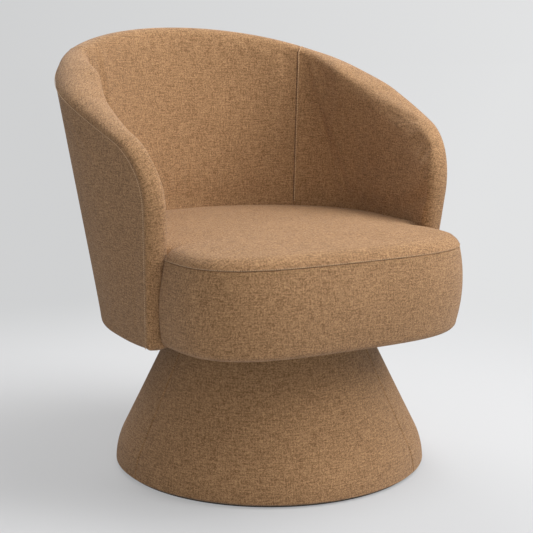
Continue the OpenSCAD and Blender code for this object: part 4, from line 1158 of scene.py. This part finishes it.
STITCH_LEN, STITCH_T, STITCH_PITCH = 3 * MM, 1.5 * MM, 3.6 * MM
THREAD_D, THREAD_OFF = -0.8 * MM, 3.2 * MM
SEAT_THREAD_OUT, SEAT_THREAD_RISE = 0.1 * MM, 1.6 * MM
ROLL_THREAD_OUT, FACE_THREAD_OUT = 0.3 * MM, 0.9 * MM
BASE_THREAD_IN, BASE_THREAD_END = 3 * MM, 6 * MM
THREAD_POINTS, OVER_POINTS = 60, 24


def stitches(name, line, body):
    """Round-ended stitches, one after the other along a line."""
    line = np.asarray(line)
    run = float(np.linalg.norm(np.diff(line, axis=0), axis=1).sum())
    path = bpy.data.curves.new(name + "_path", "CURVE")
    path.dimensions = "3D"
    path.twist_mode = "MINIMUM"
    spline = path.splines.new("POLY")
    spline.points.add(len(line) - 1)
    spline.points.foreach_set("co", np.column_stack([line, np.ones(len(line))]).ravel())
    guide = bpy.data.objects.new(name + "_path", path)
    bpy.context.scene.collection.objects.link(guide)
    piece = new_piece(name, bpy.ops.mesh.primitive_uv_sphere_add, segments=6, ring_count=5, radius=0.5)
    piece.scale = (STITCH_T, STITCH_T, STITCH_LEN)
    piece.rotation_euler = (0, math.pi / 2, 0)
    piece.location = (STITCH_PITCH / 2, 0, 0)
    bpy.ops.object.transform_apply(location=True, rotation=True, scale=True)
    apply(piece, "ARRAY", use_relative_offset=False, use_constant_offset=True,
          constant_offset_displace=(STITCH_PITCH, 0, 0), count=int(run / STITCH_PITCH))
    apply(piece, "CURVE", object=guide, deform_axis="POS_X")
    bpy.data.objects.remove(guide)
    only(piece)
    bpy.ops.object.shade_smooth()
    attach(piece, body)
    dress(piece.data, THREAD)


rim_line = wall(LINE_T[::3], LINE_Z[::3], THREAD_D)
stitches("rim_stitches", np.concatenate([rim_line[:0:-1] * MIRROR, rim_line]), "seat")
seat_line = seat_outline(float(seat_swell(SEAT_SEAM_Z)) - SEAT_THREAD_OUT, SEAT_SIDE_D, SEAT_SEAM_Z)
seat_line = np.column_stack([seat_line, np.full(len(seat_line), SEAT_SEAM_Z + SEAT_THREAD_RISE)])
stitches("seat_stitches", seat_line, "seat")
seam_top = float(rim_height(SEAM_T))
for side, name in ((1, "right"), (-1, "left")):
    turn = np.linspace(0, math.pi, OVER_POINTS)[1:-1]
    over_rim = roll(np.full(len(turn), S_SEAM + THREAD_OFF), turn, np.full(len(turn), -ROLL_THREAD_OUT))
    z = np.linspace(seam_top, SEAT_CROWN_Z, THREAD_POINTS)
    down = wall(SEAM_T + THREAD_OFF / WALL_LEN, z, SHELL_T + FACE_THREAD_OUT)
    stitches(name + "_upright_stitches", np.concatenate([over_rim, down]) * [side, 1, 1], "seat")
    z = np.linspace(seam_top, SHELL_BOTTOM_Z + SHELL_FOOT_R, THREAD_POINTS)
    stitches(name + "_outer_stitches", wall(SEAM_T, z, THREAD_D) * [side, 1, 1], "seat")
for n, name in enumerate(["front", "right", "rear"]):
    z = np.linspace(PLINTH_H + BASE_THREAD_END, BASE_H - BASE_THREAD_END, THREAD_POINTS)
    r = base_radius(z) - BASE_THREAD_IN
    x, y = r * math.cos(base_seam(n)), r * math.sin(base_seam(n))
    stitches(name + "_base_stitches", np.column_stack([x, y, z]), "base")

# What stays as built

KEPT = {
    PLY: ["base_bottom_board", "base_ribs", "base_top_board", "seat_platform", "seat_front_rail",
          "seat_back_rail", "corner_blocks", "shell_bottom_rail", "shell_top_rail", "shell_uprights",
          "arm_posts"],
    HARDBOARD: ["base_shell", "shell_inner_board", "shell_outer_board"],
    STEEL: ["swivel_base_plate", "swivel_lower_race", "swivel_base_screws", "swivel_pivot", "swivel_balls",
            "swivel_ball_cage", "swivel_upper_race", "swivel_top_plate", "swivel_top_bolts",
            "swivel_tee_nuts", "shell_bolts"],
    STRAP: ["seat_webbing_long", "seat_webbing_cross"],
    BLACK: ["plinth_disc"]}
for material, nodes in KEPT.items():
    for node in nodes:
        dress(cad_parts[node].data, material)

# Floor, light and camera

CAMERA_TURN, CAMERA_YAW, CAMERA_PITCH = math.radians(30.53), math.radians(30.40), math.radians(10.27)
PALE_LEFT, PALE_RIGHT, PALE_NEAR = (0.63, 0.635, 0.64), (0.76, 0.765, 0.77), (0.77, 0.775, 0.785)
PALE_SLOPE, PALE_MIDDLE = 2.4, 0.5
SHADOW_SHARE = 0.6
FLOOR_SIZE, FLOOR_NEAR, FLOOR_FAR = 60, 0.4, 1.6
STAND_OFF = 2.3


def background(finish, x, y, near):
    """Pale backdrop colour, a little brighter on the side of the main light."""
    side = x * math.cos(CAMERA_TURN) - y * math.sin(CAMERA_TURN)
    side = side / (x * x + y * y + near * near).math("SQRT")
    return finish.mix((side * PALE_SLOPE + PALE_MIDDLE).share(), PALE_LEFT, PALE_RIGHT)


def seen(finish):
    """1 where the camera, a reflection or glass looks at the surface."""
    outs = finish.node("ShaderNodeLightPath").socket.node.outputs
    rays = [Value(finish, outs[key]) for key in ("Is Camera Ray", "Is Glossy Ray", "Is Transmission Ray")]
    return (rays[0] + rays[1] + rays[2]).math("MINIMUM", 1.0)


def backdrop():
    """Pale floor that takes the chair's shadow and runs out into the background."""
    piece = new_piece("floor", bpy.ops.mesh.primitive_plane_add, size=1)
    piece.scale = (FLOOR_SIZE, FLOOR_SIZE, 1)
    bpy.ops.object.transform_apply(location=False, rotation=False, scale=True)
    finish = Finish("pale_floor", Base_Color=(0.5, 0.505, 0.515, 1), Roughness=0.9, Specular_IOR_Level=0.1)
    x, y, _ = finish.split(finish.place())
    away = (((x * x + y * y).math("SQRT") - FLOOR_NEAR) / (FLOOR_FAR - FLOOR_NEAR)).share()
    far = away * away * (3 - away * 2)
    colour = finish.mix(far, PALE_NEAR, background(finish, x, y, STAND_OFF))
    glow = finish.node("ShaderNodeEmission", None, Color=colour)
    factor = (far * SHADOW_SHARE + (1 - SHADOW_SHARE)) * seen(finish)
    finish.blend(factor, Value(finish, finish.shader.outputs[0]), glow, "Material Output")
    piece.data.materials.append(finish.material)


def studio():
    """Even room light on the chair, with the plain background where the camera looks past it."""
    world = bpy.data.worlds.new("studio")
    bpy.context.scene.world = world
    world.use_nodes = True
    room = Nodes(world.node_tree)
    light = room.tree.nodes["Background"]
    light.inputs["Color"].default_value = ROOM_COLOUR
    light.inputs["Strength"].default_value = ROOM
    x, y, _ = room.split(room.node("ShaderNodeTexCoord", out="Generated"))
    plain = room.node("ShaderNodeBackground", None, Color=background(room, x, y, 0.0))
    room.blend(seen(room), Value(room, light.outputs[0]), plain, "World Output")


def softbox(name, place, aim_z, size, power):
    """Soft lamp at a place, aimed at a height on the chair's axis."""
    light = bpy.data.lights.new(name, "AREA")
    light.shape, light.size, light.size_y = "RECTANGLE", *size
    light.energy = power
    lamp = bpy.data.objects.new(name, light)
    bpy.context.scene.collection.objects.link(lamp)
    lamp.location = place
    lamp.rotation_euler = (Vector((0, 0, aim_z)) - Vector(place)).to_track_quat("-Z", "Y").to_euler()


ROOM, ROOM_COLOUR = 0.42, (1, 0.985, 0.96, 1)
KEY, TOP, FILL, BACK = 69, 54, 16, 48
backdrop()
softbox("key", (2.0, -1.6, 2.2), 0.45, (1.5, 1.5), KEY)
softbox("top", (0.9, -0.4, 2.8), 0.4, (1.5, 1.5), TOP)
softbox("fill", (-1.3, -2.7, 0.6), 0.4, (1.8, 1.0), FILL)
softbox("back", (0.4, 2.4, 2.2), 0.5, (2.0, 1.4), BACK)
studio()

CAMERA_AWAY, CAMERA_Z = 2.257, 0.767
SENSOR, FRAME_PX, FOCAL_PX = 36.0, 533, 1250
camera_data = bpy.data.cameras.new("camera")
camera_data.sensor_width = SENSOR
camera_data.lens = FOCAL_PX * SENSOR / FRAME_PX
camera = bpy.data.objects.new("camera", camera_data)
bpy.context.scene.collection.objects.link(camera)
camera.location = (-CAMERA_AWAY * math.sin(CAMERA_TURN), -CAMERA_AWAY * math.cos(CAMERA_TURN), CAMERA_Z)
camera.rotation_euler = (math.pi / 2 - CAMERA_PITCH, 0, -CAMERA_YAW)
bpy.context.scene.camera = camera
bpy.context.scene.view_settings.view_transform = "Standard"

bpy.ops.object.select_all(action="DESELECT")
